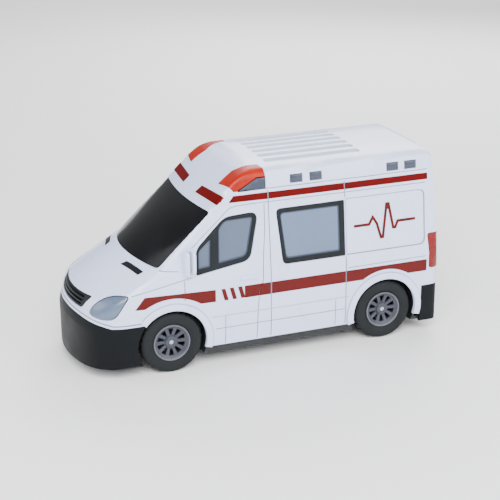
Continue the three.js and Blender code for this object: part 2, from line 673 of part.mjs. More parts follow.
// Mirror housing on the door, with a recess for its glass on the rear face
function doorMirror(side) {
  const x = NOSE_X - 82;
  const outer = HALF + MIRROR_STAND;
  const corners = [
    [HALF - 6, WINDOW_Z + 0.5, 1],
    [outer - 2.5, WINDOW_Z + 0.5, 2],
    [outer, WINDOW_Z + 6, 3],
    [outer, WINDOW_Z + MIRROR_TALL, 3],
    [HALF - 6, WINDOW_Z + MIRROR_TALL, 2],
  ];
  const face = (inset) => {
    const moved = insetLoop(corners.map(([y, z]) => at(y, z)), inset);
    const loop = roundedLoop(moved.map((p, i) => [p.x, p.y, corners[i][2] / (1 + inset)]));
    return side > 0 ? loop : mirrored(loop);
  };
  const nose = roundedLoop([
    [x, HALF - 8, 0],
    [x + MIRROR_DEEP, HALF - 8, 0],
    [x + MIRROR_DEEP, HALF + 2, 5],
    [x + 3, outer + 1, 2],
    [x, outer + 1, 0.5],
  ]);
  const plan = side > 0 ? nose : nose.map((p) => at(p.x, -p.y)).reverse();
  const housing = alongX(face(0), x, x + MIRROR_DEEP).intersect(alongZ(plan, 0, FAR));
  return cut(housing, form(-GAP), alongX(face(1.2), x - 1, x + 1));
}

// Wheels
function tyre() {
  const half = TYRE_WIDTH / 2;
  const bore = RIM_RADIUS + GAP / 2;
  return turned([
    [bore, -half + 1], [WHEEL_RADIUS - 3.4, -half], [WHEEL_RADIUS, -half + 3], [WHEEL_RADIUS, half - 3],
    [WHEEL_RADIUS - 3.4, half], [bore, half - 1], [bore, -half + 1],
  ], 24);
}

// Dished rim with tapered slots between its spokes; its face looks along +Y
function rim() {
  const half = TYRE_WIDTH / 2 - 1;
  const bore = AXLE_RADIUS + GAP / 2;
  const dish = turned([
    [bore, -2], [HUB_RADIUS, half - 2 - RIM_FACE], [RIM_RADIUS - 1.6, half - 0.8 - RIM_FACE],
    [RIM_RADIUS - 1.6, -half], [RIM_RADIUS, -half], [RIM_RADIUS, half], [RIM_RADIUS - 1.8, half - 0.6],
    [HUB_RADIUS, half - 2], [bore, half - 1], [bore, -2],
  ], 20);
  const slots = Array.from({ length: RIM_SPOKES }, (_, i) => {
    const turn = (i + 0.5) * 2 * Math.PI / RIM_SPOKES;
    const [inner, outer] = [HUB_RADIUS + 1, RIM_RADIUS - 2.8];
    const corners = [[inner, 0.7], [outer, 2], [outer, -2], [inner, -0.7]];
    const loop = corners.map(([r, w]) => at(r, w).rotateAround(at(0, 0), turn));
    return alongY(THREE.ShapeUtils.area(loop) < 0 ? loop.reverse() : loop, 0, FAR);
  });
  return cut(dish, ...slots);
}

const wheelY = HALF - TYRE_INSET - TYRE_WIDTH / 2;
const tyreSolid = tyre();
const rimSolid = rim();
const rimFlipped = rimSolid.rotate([0, 0, 180]);
for (const [end, x] of AXLE_PLACES) {
  for (const [name, side] of SIDES) {
    add(`tyre_${end}_${name}`, tyreSolid, RUBBER, x, side * wheelY, WHEEL_RADIUS);
    add(`rim_${end}_${name}`, side > 0 ? rimSolid : rimFlipped, RIM_GREY, x, side * wheelY, WHEEL_RADIUS);
  }
  const reach = wheelY + TYRE_WIDTH / 2 - 2;
  add(`${end}_axle`, rod(AXLE_RADIUS, -reach, reach), STEEL, x, 0, WHEEL_RADIUS);
}

// Drive levels, from the ground up
const turretX = NOSE_X - TURRET_BACK;
const floorTop = FLOOR_Z + FLOOR_THICK;
const cupRoof = 2 * DRIVE_WHEEL_RADIUS + CUP_HEADROOM;
const gearFloor = cupRoof + WALL;
const flangeTop = gearFloor + GAP + 1.5;
const driveGearZ = flangeTop + 1;
const largeGearZ = driveGearZ + GEAR_FACE + 1.2;
const coverTop = largeGearZ + GEAR_FACE + 2.6;
const gearSpacing = GEAR_MODULE * (SMALL_TEETH + LARGE_TEETH) / 2;
const idler = at(turretX, gearSpacing);
const motor = at(turretX - gearSpacing, gearSpacing);

// Chassis tray with wheel wells, turret cup, gear floor, battery bay and speaker ring
const bayLength = CELL_LENGTH + 2 * (CONTACT_THICK + 2 * GAP);
const bayX1 = NOSE_X - BAY_BACK;
const bayX0 = bayX1 - bayLength;
const bayHalf = CELL_PITCH + CELL_RADIUS + 0.9;
const cellZ = floorTop + CELL_RADIUS + 0.4;
const bayRoof = cellZ + CELL_RADIUS + 0.8;
const wellRadius = WHEEL_RADIUS + WELL_GAP;
const wellY = wheelY - TYRE_WIDTH / 2 - 4;
const speakerX = REAR_X + SPEAKER_FROM_REAR;
const railY = HALF - ROCKER_TUCK - 2 * WALL - GAP;
const switchX = bayX1 - SWITCH_HALF_LONG;
const switchY = (bayHalf + BAY_WALL + railY) / 2;
const GEAR_FLOOR = rectangle(
  motor.x - MOTOR_RADIUS - 2, turretX + TURRET_RADIUS + 3, -TURRET_RADIUS - 3, idler.y + 15, 4,
);

function chassis() {
  const inside = form(WALL + GAP);
  const floor = inside.intersect(between(FLOOR_Z, floorTop));
  const rails = cut(inside, form(2 * WALL + GAP))
    .intersect(block(REAR_AXLE_X, FRONT_AXLE_X, -FAR, FAR, FLOOR_Z, TRAY_TOP_Z));
  const wellsOut = [];
  const wellsIn = [];
  for (const [, x] of AXLE_PLACES) {
    for (const [, side] of SIDES) {
      const span = (y0, y1) => (side > 0 ? [y0, y1] : [-y1, -y0]);
      wellsOut.push(rod(wellRadius + WELL_WALL, ...span(wellY, HALF), x, WHEEL_RADIUS, 18));
      wellsIn.push(rod(wellRadius, ...span(wellY + WELL_WALL, FAR), x, WHEEL_RADIUS, 18));
      wellsIn.push(rod(AXLE_RADIUS + RUNNING_GAP, ...span(wellY - 5, FAR), x, WHEEL_RADIUS, 12));
    }
  }
  const wells = joined(...wellsOut).intersect(inside).intersect(between(FLOOR_Z, FAR));
  const cup = post(TURRET_RADIUS + TURRET_CLEARANCE + WALL, FLOOR_Z, gearFloor, turretX, 0, 32);
  const bayOut = bayHalf + BAY_WALL;
  const bay = block(bayX0 - BAY_WALL, bayX1 + BAY_WALL, -bayOut, bayOut, FLOOR_Z, bayRoof + BAY_WALL);
  const ring = post(SPEAKER_RADIUS + GAP + WALL, FLOOR_Z, floorTop + 4, speakerX, 0, 24);
  const idlerPin = post(SHAFT_RADIUS + 0.3, gearFloor - 1, coverTop - GAP, idler.x, idler.y, 12);
  const boardPosts = [-1, 1].flatMap((sx) => [-1, 1].map((sy) => (
    post(2, bayRoof, bayRoof + BAY_WALL + 1.2, (bayX0 + bayX1) / 2 + sx * 18, sy * 14, 12))));
  const solid = joined(floor, rails, wells, cup, bay, ring, alongZ(GEAR_FLOOR, cupRoof, gearFloor), idlerPin,
    ...boardPosts);
  const soundSlots = [-2, -1, 0, 1, 2].map((i) => (
    block(speakerX - 9, speakerX + 9, 4 * i - 1, 4 * i + 1, FLOOR_Z - 1, floorTop + 1)));
  return cut(
    solid,
    ...wellsIn,
    post(TURRET_RADIUS + TURRET_CLEARANCE, FLOOR_Z - 1, cupRoof, turretX, 0, 32),
    post(NECK_RADIUS + GAP, cupRoof - 1, gearFloor + 1, turretX, 0),
    block(bayX0, bayX1, -bayHalf, bayHalf, FLOOR_Z - 1, bayRoof),
    post(SPEAKER_RADIUS + GAP, floorTop, FAR, speakerX, 0, 24).intersect(between(floorTop, floorTop + 5)),
    ...soundSlots,
    block(switchX - SWITCH_SLOT_LONG, switchX + SWITCH_SLOT_LONG, switchY - SWITCH_SLOT_WIDE,
      switchY + SWITCH_SLOT_WIDE, FLOOR_Z - 1, floorTop + 1),
  );
}
add('chassis', chassis(), BLACK_ABS);

// Turret: slotted disc, cheeks and bridge round the crown gear, and a neck that hangs in the cup's roof
const axleZ = DRIVE_WHEEL_RADIUS;
const discZ = FLOOR_Z + 0.4;
const bridgeTop = cupRoof - 0.5;
const bridgeZ = bridgeTop - 1.7;
const driveWheelIn = (DRIVE_TRACK - DRIVE_WHEEL_WIDTH) / 2;
const driveReach = driveWheelIn + DRIVE_WHEEL_WIDTH;

function turret() {
  const sides = [1, -1];
  const span = (side, y0, y1) => (side > 0 ? [y0, y1] : [-y1, -y0]);
  const cheek = (side) => span(side, CHEEK_IN, CHEEK_OUT);
  const cheeks = sides.map((side) => block(-7, 7, ...cheek(side), floorTop - 1, bridgeTop));
  const bearings = sides.map((side) => block(-3.5, 3.5, ...cheek(side), axleZ - 2.6, floorTop));
  const body = joined(
    post(TURRET_RADIUS, discZ, floorTop, 0, 0, 32),
    ...cheeks,
    ...bearings,
    block(-7, 7, -CHEEK_OUT, CHEEK_OUT, bridgeZ, bridgeTop),
    post(NECK_RADIUS, bridgeZ, flangeTop),
    post(NECK_RADIUS + 1.6, gearFloor + GAP, flangeTop),
  );
  const slotHalf = DRIVE_WHEEL_RADIUS + 0.6;
  const wheelSlots = sides.map((side) => (
    block(-slotHalf, slotHalf, ...span(side, driveWheelIn - 0.5, driveReach + 0.5), 0, floorTop + 1)));
  return cut(
    body,
    ...wheelSlots,
    block(-CROWN_RADIUS - 0.6, CROWN_RADIUS + 0.6, CROWN_FACE - 0.5, CROWN_BACK + 0.4, 0, floorTop + 1),
    rod(DRIVE_AXLE_RADIUS + RUNNING_GAP, -CHEEK_OUT - 0.5, CHEEK_OUT + 0.5, 0, axleZ),
    post(SHAFT_RADIUS + RUNNING_GAP, bridgeZ - 1, flangeTop + 1, 0, 0, 12),
  );
}
add('turret', turret(), NYLON, turretX, 0, 0);

// Crown gear with square teeth on its face, on the drive axle with the two rubber wheels
function crownGear() {
  const blank = rod(CROWN_RADIUS, CROWN_FACE, CROWN_BACK, 0, 0, CROWN_TEETH);
  const disc = cut(blank, rod(CROWN_RADIUS - 2, 0, CROWN_FACE + 1));
  const notches = Array.from({ length: CROWN_TEETH }, (_, i) => {
    const turn = i * 2 * Math.PI / CROWN_TEETH;
    const [inner, outer] = [CROWN_RADIUS - 3, CROWN_RADIUS + 1];
    const corners = [[inner, 0.5], [outer, 0.7], [outer, -0.7], [inner, -0.5]];
    const loop = corners.map(([r, w]) => at(r, w).rotateAround(at(0, 0), turn));
    return alongY(THREE.ShapeUtils.area(loop) < 0 ? loop.reverse() : loop, 0, CROWN_FACE + 1);
  });
  return cut(disc, rod(DRIVE_AXLE_RADIUS + GAP / 2, 0, FAR), ...notches);
}
add('crown_gear', crownGear(), NYLON, turretX, 0, axleZ);
add('drive_axle', rod(DRIVE_AXLE_RADIUS, -driveReach, driveReach), STEEL, turretX, 0, axleZ);

function driveWheel() {
  const half = DRIVE_WHEEL_WIDTH / 2;
  const bore = DRIVE_AXLE_RADIUS + GAP / 2;
  return turned([
    [bore, -half], [DRIVE_WHEEL_RADIUS - 1, -half], [DRIVE_WHEEL_RADIUS, -half + 1],
    [DRIVE_WHEEL_RADIUS, half - 1], [DRIVE_WHEEL_RADIUS - 1, half], [bore, half], [bore, -half],
  ], 20);
}
for (const [name, side] of SIDES) {
  add(`drive_wheel_${name}`, driveWheel(), RUBBER, turretX, side * DRIVE_TRACK / 2, axleZ);
}

// Spur gears on upright axes, in mesh along their lines of centres
function gearLoop(teeth, module, phase) {
  const pitch = 2 * Math.PI / teeth;
  const tip = module * (teeth / 2 + ADDENDUM);
  const root = module * (teeth / 2 - DEDENDUM);
  const corners = [[root, -ROOT_SHARE], [tip, -TIP_SHARE], [tip, TIP_SHARE], [root, ROOT_SHARE]];
  return Array.from({ length: teeth }, (_, i) => corners.map(([r, share]) => (
    at(r, 0).rotateAround(at(0, 0), phase + (i + share) * pitch)))).flat();
}
const gear = (teeth, module, phase, z0, z1) => alongZ(gearLoop(teeth, module, phase), z0, z1);

const toIdler = Math.PI / 2;
const toMotor = Math.PI;
const smallHalf = Math.PI / SMALL_TEETH;
const pinionZ = floorTop + 0.7;
add('drive_shaft', joined(
  post(SHAFT_RADIUS, pinionZ - 0.3, coverTop + 1, 0, 0, 12),
  gear(PINION_TEETH, PINION_MODULE, 0, pinionZ, bridgeZ - 0.4),
  gear(LARGE_TEETH, GEAR_MODULE, toIdler, driveGearZ, driveGearZ + GEAR_FACE),
), NYLON, turretX, 0, 0);

add('idler_gear', cut(
  joined(
    gear(SMALL_TEETH, GEAR_MODULE, toIdler + Math.PI + smallHalf, driveGearZ - 0.6, largeGearZ + 0.5),
    gear(LARGE_TEETH, GEAR_MODULE, toMotor, largeGearZ, largeGearZ + GEAR_FACE - 1),
  ),
  post(SHAFT_RADIUS + 0.3 + RUNNING_GAP, 0, FAR, 0, 0, 12),
), NYLON, idler.x, idler.y, 0);

const motorZ = coverTop + COVER_WALL + GAP;
add('motor_pinion', joined(
  post(1, largeGearZ - 0.5, motorZ + 7, 0, 0, 12),
  gear(SMALL_TEETH, GEAR_MODULE, toMotor + Math.PI + smallHalf, largeGearZ + 0.2, largeGearZ + GEAR_FACE),
), STEEL, motor.x, motor.y, 0);

function motorCan() {
  const topZ = motorZ + MOTOR_LENGTH;
  const flats = block(-FAR, FAR, -MOTOR_FLAT, MOTOR_FLAT, motorZ, topZ);
  const can = post(MOTOR_RADIUS, motorZ, topZ, 0, 0, 24).intersect(flats);
  const cap = post(3, motorZ, topZ + 1.6, 0, 0, 12);
  return cut(joined(can, cap), post(1 + RUNNING_GAP, 0, motorZ + 8, 0, 0, 12));
}
add('motor', motorCan(), STEEL, motor.x, motor.y, 0);

// Cover over the gears, with a collar that holds the motor upright
function gearboxCover() {
  const x0 = motor.x - MOTOR_RADIUS - 1;
  const x1 = turretX + GEAR_MODULE * (LARGE_TEETH / 2 + 1) + 2;
  const y0 = -GEAR_MODULE * (LARGE_TEETH / 2 + 1) - 2;
  const y1 = idler.y + GEAR_MODULE * (LARGE_TEETH / 2 + 1) + 2;
  const outline = rectangle(x0, x1, y0, y1, 4);
  const collar = (extra) => post(MOTOR_RADIUS + extra, coverTop, motorZ + 6, motor.x, motor.y, 24)
    .intersect(block(-FAR, FAR, motor.y - MOTOR_FLAT - extra, motor.y + MOTOR_FLAT + extra, 0, FAR));
  return cut(
    joined(alongZ(outline, gearFloor + GAP, coverTop + COVER_WALL), collar(GAP + 1.2)),
    alongZ(insetLoop(outline, COVER_WALL), 0, coverTop),
    collar(GAP).intersect(above(coverTop + COVER_WALL)),
    post(SHAFT_RADIUS + RUNNING_GAP, 0, FAR, turretX, 0, 12),
    post(3, 0, coverTop + COVER_WALL + 0.1, motor.x, motor.y, 16),
  );
}
add('gearbox_cover', gearboxCover(), NYLON);

// Cells, contacts, door and circuit board
const cellX0 = bayX0 + CONTACT_THICK + 2 * GAP;
function cell() {
  const bead = 1;
  return turned([
    [0, 0], [CELL_RADIUS - 0.5, 0], [CELL_RADIUS, 0.5], [CELL_RADIUS, CELL_LENGTH - 1.5],
    [CELL_RADIUS - 0.6, CELL_LENGTH - bead], [2.7, CELL_LENGTH - bead], [2.7, CELL_LENGTH], [0, CELL_LENGTH],
  ], 12).rotate([0, 0, -90]);
}
CELLS.forEach((name, i) => add(`battery_${name}`, cell(), CELL_GREEN, cellX0, (1 - i) * CELL_PITCH, cellZ));
const contact = block(0, CONTACT_THICK, -bayHalf + 1, bayHalf - 1, cellZ - 5, cellZ + 5);
add('contact_plate_rear', contact, STEEL, bayX0 + GAP, 0, 0);
add('contact_plate_front', contact, STEEL, bayX1 - GAP - CONTACT_THICK, 0, 0);

function batteryDoor() {
  const plate = block(bayX0 + GAP, bayX1 - GAP, -bayHalf + GAP, bayHalf - GAP, FLOOR_Z, FLOOR_Z + DOOR_THICK);
  const grip = Array.from({ length: 5 }, (_, i) => {
    const x = bayX1 - 6 - 2.4 * i;
    return block(x - 0.6, x + 0.6, -9, 9, FLOOR_Z - 1, FLOOR_Z + 0.6);
  });
  return cut(plate, ...grip);
}
add('battery_door', batteryDoor(), BLACK_ABS);
add('circuit_board', block((bayX0 + bayX1) / 2 - 22, (bayX0 + bayX1) / 2 + 22, -18, 18, 0, 1.6), BOARD_GREEN,
  0, 0, bayRoof + BAY_WALL + 1.2 + GAP);

add('speaker', turned([
  [0, 0], [SPEAKER_RADIUS, 0], [SPEAKER_RADIUS, 1.5], [SPEAKER_RADIUS - 2, 2], [SPEAKER_RADIUS - 6, 5],
  [SPEAKER_RADIUS - 6, 9], [0, 9],
], 20).rotate([90, 0, 0]), CHARCOAL, speakerX, 0, floorTop + GAP);

// Slide switch: a ribbed knob through the floor, its plate, and the fixed housing above
const knobHalf = SWITCH_SLOT_LONG - SWITCH_TRAVEL / 2 - GAP;
const knobWide = SWITCH_SLOT_WIDE - GAP;
const slideWide = SWITCH_HALF_WIDE - 2;
add('power_switch', joined(
  block(-knobHalf, knobHalf, -knobWide, knobWide, FLOOR_Z - 1.2, floorTop + 1),
  block(-8, 8, -slideWide, slideWide, floorTop + GAP, floorTop + GAP + 1.5),
), CHARCOAL, switchX - SWITCH_TRAVEL / 2, switchY, 0);
add('switch_housing', cut(
  block(-SWITCH_HALF_LONG, SWITCH_HALF_LONG, -SWITCH_HALF_WIDE, SWITCH_HALF_WIDE,
    floorTop + GAP, floorTop + 7),
  block(1 - SWITCH_HALF_LONG, SWITCH_HALF_LONG - 1, -slideWide - GAP, slideWide + GAP,
    0, floorTop + 2 * GAP + 1.5),
), CHARCOAL, switchX, switchY, 0);

export default van;
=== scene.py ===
"""Looks of a toy ambulance van: smooth moulded shell, glazing, lamps, stickers, wheels and stage."""

import json
import math

import bpy
import numpy as np
from bpy.props import FloatProperty, FloatVectorProperty, IntProperty, PointerProperty
from mathutils import Matrix, Vector


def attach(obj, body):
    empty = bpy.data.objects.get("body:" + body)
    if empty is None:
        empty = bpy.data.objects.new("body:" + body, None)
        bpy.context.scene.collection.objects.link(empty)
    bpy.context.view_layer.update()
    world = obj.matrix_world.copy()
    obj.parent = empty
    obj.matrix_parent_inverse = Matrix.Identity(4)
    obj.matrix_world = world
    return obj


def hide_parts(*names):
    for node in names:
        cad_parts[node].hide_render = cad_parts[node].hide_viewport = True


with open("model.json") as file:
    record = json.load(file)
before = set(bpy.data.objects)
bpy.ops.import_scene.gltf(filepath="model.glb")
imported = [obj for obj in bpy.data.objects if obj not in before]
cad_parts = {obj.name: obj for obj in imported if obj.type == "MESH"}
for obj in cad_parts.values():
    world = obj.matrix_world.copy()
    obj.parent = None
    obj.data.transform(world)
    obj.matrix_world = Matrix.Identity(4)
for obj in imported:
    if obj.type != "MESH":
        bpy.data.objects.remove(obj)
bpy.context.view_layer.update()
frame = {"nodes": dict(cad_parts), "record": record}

bl_info = {
    "name": "Toy Ambulance Van",
    "version": (1, 0, 0),
    "blender": (4, 5, 0),
    "location": "View3D > Sidebar > Van",
    "description": "Builds the looks of a toy ambulance van around its packed parts",
    "category": "Object",
}

# Sizes of the van in millimetres, as in its solids
MM = 0.001
NOSE, REAR, HALF, HIGH = 136.0, -136.0, 52.0, 141.0
LOW, SILL, ROCKER, BELT = 4.0, 16.0, 29.0, 63.0
BUMPER_TOP, NOSE_LIP, REAR_BUMPER_TOP = 39.4, 45.3, 38.0
WALL, GAP = 2.0, 0.3
FRONT_AXLE, REAR_AXLE, AXLE_Z = 71.5, -91.5, 22.5
WHEEL_RADIUS, TYRE_WIDTH, RIM_RADIUS, WHEEL_Y = 22.5, 15.0, 13.4, 42.5
ARCH_RADIUS, FLARE_BAND = 25.0, 4.7
REAR_BUMPER_X = REAR_AXLE - ARCH_RADIUS - FLARE_BAND
LEDGE, WINDOW_Z, WINDOW_TOP = 125.0, 70.2, 109.7
CAB_X, CABIN_X = -2.0, -60.1
SCREEN_TOP, SCREEN_BASE, HOOD_EDGE = 114.0, 81.0, 59.5
CURVE_STEPS = 10
SIDES = (("left", 1), ("right", -1))
AXLES = (("front", FRONT_AXLE), ("rear", REAR_AXLE))


class VanSizes(bpy.types.PropertyGroup):
    """Small sizes of the trim, in millimetres"""

    sticker_stand: FloatProperty(
        name="Sticker stand", description="How far a sticker stands off the shell, in mm",
        default=0.18, min=0.05, max=0.5)
    flare_stand: FloatProperty(
        name="Flare stand", description="How far the arch flares stand off the shell, in mm",
        default=1.0, min=0.2, max=2.0)
    edge_round: FloatProperty(
        name="Edge round", description="Softness of the bonnet and pillar edges, in mm",
        default=3.4, min=0.5, max=8.0)
    tread_blocks: IntProperty(
        name="Tread blocks", description="Cross cuts round each tyre", default=30, min=8, max=60)
    spokes: IntProperty(name="Spokes", description="Spokes of each rim", default=10, min=4, max=16)


def colour(name, description, value):
    return FloatVectorProperty(
        name=name, description=description, default=value, size=3, min=0.0, max=1.0, subtype="COLOR")


class VanColours(bpy.types.PropertyGroup):
    """Main colours of the van"""

    white: colour("White", "Moulded shell", (0.63, 0.70, 0.96))
    charcoal: colour("Charcoal", "Bumpers and window frames", (0.0055, 0.0075, 0.0095))
    screen: colour("Screen", "Windscreen and rear panes", (0.004, 0.0045, 0.0055))
    pane: colour("Pane", "Frosted side panes", (0.108, 0.155, 0.245))
    lamp: colour("Lamp", "Headlight lenses", (0.090, 0.127, 0.195))
    upper_red: colour("Upper red", "Roof stripe and forehead bars", (0.100, 0.0010, 0.0008))
    lower_red: colour("Lower red", "Waist stripe", (0.092, 0.004, 0.003))
    beacon: colour("Beacon", "Beacon lenses", (0.34, 0.010, 0.0))
    marker: colour("Marker", "Marker lenses and beacon panels", (0.026, 0.035, 0.063))
    rim: colour("Rim", "Wheel rims", (0.030, 0.034, 0.048))


class VanStage(bpy.types.PropertyGroup):
    """Camera and light"""

    turn: FloatProperty(name="Turn", description="Camera turn in degrees", default=159.06)
    rise: FloatProperty(name="Rise", description="Camera rise in degrees", default=19.90)
    roll: FloatProperty(name="Roll", description="Camera roll in degrees", default=-0.46)
    lens: FloatProperty(name="Lens", description="Lens in mm on a 36 mm sensor", default=97.6)
    floor: colour("Floor", "Studio floor", (0.95, 0.95, 0.95))
    key: FloatProperty(name="Key light", description="Power of the key light", default=26.0, unit="POWER")


# Outlines, as arrays of points in millimetres
def path(*legs):
    points = [legs[0]]
    for leg in legs[1:]:
        if len(leg) == 2:
            points.append(leg)
            continue
        (x0, y0), (cx, cy, x1, y1) = points[-1], leg
        for i in range(1, CURVE_STEPS + 1):
            t = i / CURVE_STEPS
            a, b, c = (1 - t) ** 2, 2 * t * (1 - t), t * t
            points.append((a * x0 + b * cx + c * x1, a * y0 + b * cy + c * y1))
    return np.array(points, float)


def rounded(corners):
    """Closed outline; each corner is (x, y, radius)."""
    legs = []
    count = len(corners)
    for i, (x, y, radius) in enumerate(corners):
        here = np.array((x, y), float)

        def toward(other):
            step = np.array(other[:2], float) - here
            return tuple(here + step / np.linalg.norm(step) * radius)

        start, end = toward(corners[i - 1]), toward(corners[(i + 1) % count])
        legs += [start, (x, y, *end)]
    return path(*legs)


def inset(loop, distance):
    area = np.sum(loop[:, 0] * np.roll(loop[:, 1], -1) - np.roll(loop[:, 0], -1) * loop[:, 1])
    ring = loop if area > 0 else loop[::-1]
    before = ring - np.roll(ring, 1, 0)
    after = np.roll(ring, -1, 0) - ring
    before = before / np.linalg.norm(before, axis=1)[:, None]
    after = after / np.linalg.norm(after, axis=1)[:, None]
    inward = np.stack((-before[:, 1] - after[:, 1], before[:, 0] + after[:, 0]), 1)
    return ring + inward * (distance / (1 + np.sum(before * after, 1)))[:, None]


def shrunk(loop, distance):
    """Outline drawn towards its middle, for rings narrower than the roundness of its corners."""
    low, high = loop.min(0), loop.max(0)
    middle = (low + high) / 2
    return middle + (loop - middle) * (1 - 2 * distance / (high - low))


def ribbon(points, width):
    """Outline of a line of even width along the given points."""
    line = np.array(points, float)
    step = np.diff(line, axis=0)
    step /= np.linalg.norm(step, axis=1)[:, None]
    before, after = np.vstack((step[:1], step)), np.vstack((step, step[-1:]))
    across = np.stack((-before[:, 1] - after[:, 1], before[:, 0] + after[:, 0]), 1)
    across *= (width / 2 / (1 + np.sum(before * after, 1)))[:, None]
    return np.concatenate((line + across, (line - across)[::-1]))


def arc(x, z, radius, start, end, count):
    turns = np.radians(np.linspace(start, end, count))
    return np.stack((x + radius * np.cos(turns), z + radius * np.sin(turns)), 1)


def bar(x0, x1, z0, z1):
    return np.array(((x0, z0), (x1, z0), (x1, z1), (x0, z1)), float)


def mirrored(half):
    return np.concatenate((half, half[::-1] * (-1, 1)))


# The van's outer form: side profile bowed across, section with leaning sides, and plan
BLEND, MIDLINE = 2.0, 0.01
PROFILE = path(
    (REAR, LOW), (REAR, BUMPER_TOP), (REAR + 5, HIGH - 12), (REAR + 5, HIGH + BLEND, REAR + 19, HIGH + BLEND),
    (-8, HIGH + BLEND), (14.5, HIGH + 1, 35.1, 122.7), (45.4, SCREEN_TOP), (91, SCREEN_BASE),
    (110, 70.7, 127.5, HOOD_EDGE), (131.5, 56.5, 133, 49.5), (135, 43.3), (NOSE, BUMPER_TOP), (NOSE, LOW))
LEAN = math.tan(math.radians(6))
LEDGE_STEP, ROOF_ROUND, ROOF_DROP = 0.6, 9, 1.8
LEDGE_Y = HALF - LEAN * (LEDGE - BELT)
ROOF_Y = HALF - LEAN * (HIGH - ROOF_ROUND - BELT) - LEDGE_STEP
SECTION = mirrored(path(
    (HALF - 2, LOW), (HALF - 2, 9), (HALF, ROCKER), (HALF, BELT), (LEDGE_Y, LEDGE),
    (LEDGE_Y - LEDGE_STEP, LEDGE + LEDGE_STEP), (ROOF_Y, HIGH - ROOF_ROUND),
    (ROOF_Y, HIGH - ROOF_DROP, ROOF_Y - ROOF_ROUND, HIGH - ROOF_DROP), (ROOF_Y / 2, HIGH, MIDLINE, HIGH)))
PLAN_HALF = path(
    (REAR - BLEND, MIDLINE), (REAR - BLEND, HALF - 14), (REAR - BLEND, HALF + BLEND, REAR + 14, HALF + BLEND),
    (NOSE - 46, HALF + BLEND), (NOSE - 15, HALF + BLEND, NOSE - 2, HALF - 22), (NOSE + 6, HALF - 34),
    (NOSE + 6, MIDLINE))
PLAN = np.concatenate((PLAN_HALF, PLAN_HALF[::-1] * (1, -1)))
# How the front bows back and droops towards its sides, and where its edges soften
BOW_HALF, BOW_TOP, BOW_MORE, BOW_FROM, DROOP = 45, 4.2, 6.3, 8, 3.4
SOFT_X, SOFT_RUN, SOFT_Z, SOFT_FADE = 15, 40, 124, 14
HALVINGS, FARTHEST = 19, 190


def outside(points, loop):
    """Distance to an outline, negative inside it."""
    start, end = loop, np.roll(loop, -1, 0)
    edge = end - start
    off = points[:, None, :] - start[None]
    share = np.clip(np.sum(off * edge, 2) / np.maximum(np.sum(edge * edge, 1), 1e-12), 0, 1)
    near = np.sqrt(np.min(np.sum((off - share[..., None] * edge) ** 2, 2), 1))
    level = points[:, 1:2]
    crosses = (start[:, 1] <= level) != (end[:, 1] <= level)
    rise = np.where(np.abs(edge[:, 1]) < 1e-12, 1e-12, edge[:, 1])
    hit = start[:, 0] + (level - start[:, 1]) / rise * edge[:, 0]
    inside = np.sum(crosses & (points[:, :1] < hit), 1) % 2 == 1
    return np.where(inside, -near, near)


def smooth(value):
    t = np.clip(value, 0, 1)
    return t * t * (3 - 2 * t)


def blended(first, second, soft):
    """The greater of two distances, rounded where they are nearly alike."""
    near = np.maximum(soft - np.abs(first - second), 0) / soft
    return np.maximum(first, second) + near * near * soft / 4


def depth(points):
    """How far points stand outside the van's form, in millimetres; negative inside."""
    x, y, z = points.T
    across = (y / BOW_HALF) ** 2
    base = z.copy()
    for _ in range(3):
        below = (SCREEN_TOP - base) / (SCREEN_TOP - SCREEN_BASE)
        base = z + np.clip(DROOP * below, 0, DROOP) * across
    bow = np.clip(BOW_TOP + BOW_MORE * below, 0, BOW_TOP + BOW_MORE) * across * smooth(x / BOW_FROM)
    side = outside(np.stack((x + bow, np.where(x > 0, base, z)), 1), PROFILE)
    flank = blended(outside(np.stack((y, z), 1), SECTION), outside(np.stack((x, y), 1), PLAN), BLEND)
    soft = smooth((x - SOFT_X) / SOFT_RUN) * smooth((SOFT_Z - z) / SOFT_FADE)
    return blended(side, flank, np.maximum(bpy.context.scene.van_sizes.edge_round * soft, BLEND))


def reach(origins, directions, level, near, far):
    """Where each ray leaves the form at the given depth level, by halving."""
    low, high = np.full(len(origins), near, float), np.full(len(origins), far, float)
    for _ in range(HALVINGS):
        middle = (low + high) / 2
        out = depth(origins + directions * middle[:, None]) > level
        low, high = np.where(out, low, middle), np.where(out, middle, high)
    return origins + directions * ((low + high) / 2)[:, None]


# Mesh tools
WELD = 1e-6


def deselect():
    bpy.ops.object.select_all(action="DESELECT")


def pick(obj):
    deselect()
    obj.select_set(True)
    bpy.context.view_layer.objects.active = obj
    return obj


def edit(obj):
    pick(obj)
    bpy.ops.object.mode_set(mode="EDIT")
    bpy.ops.mesh.select_all(action="SELECT")


def done():
    bpy.ops.object.mode_set(mode="OBJECT")


def places(obj):
    co = np.zeros(len(obj.data.vertices) * 3)
    obj.data.vertices.foreach_get("co", co)
    return co.reshape(-1, 3)


def put(obj, points):
    obj.data.vertices.foreach_set("co", np.ascontiguousarray(points, float).ravel())
    obj.data.update()


def outward(obj):
    edit(obj)
    bpy.ops.mesh.remove_doubles(threshold=WELD)
    bpy.ops.mesh.normals_make_consistent(inside=False)
    done()
    return obj


def added(name, add, **settings):
    """What an add operator makes, under a name of its own."""
    deselect()
    add(**settings)
    bpy.context.object.name = name
    return bpy.context.object


def extruded(name, loop, low, high):
    """Prism of an outline along its own third axis, in millimetres."""
    obj = added(name, bpy.ops.mesh.primitive_circle_add, vertices=len(loop), fill_type="NGON")
    put(obj, np.column_stack((loop, np.full(len(loop), low))))
    edit(obj)
    bpy.ops.mesh.extrude_region_move(TRANSFORM_OT_translate={"value": (0, 0, high - low)})
    bpy.ops.mesh.select_all(action="SELECT")
    bpy.ops.mesh.normals_make_consistent(inside=False)
    done()
    return obj


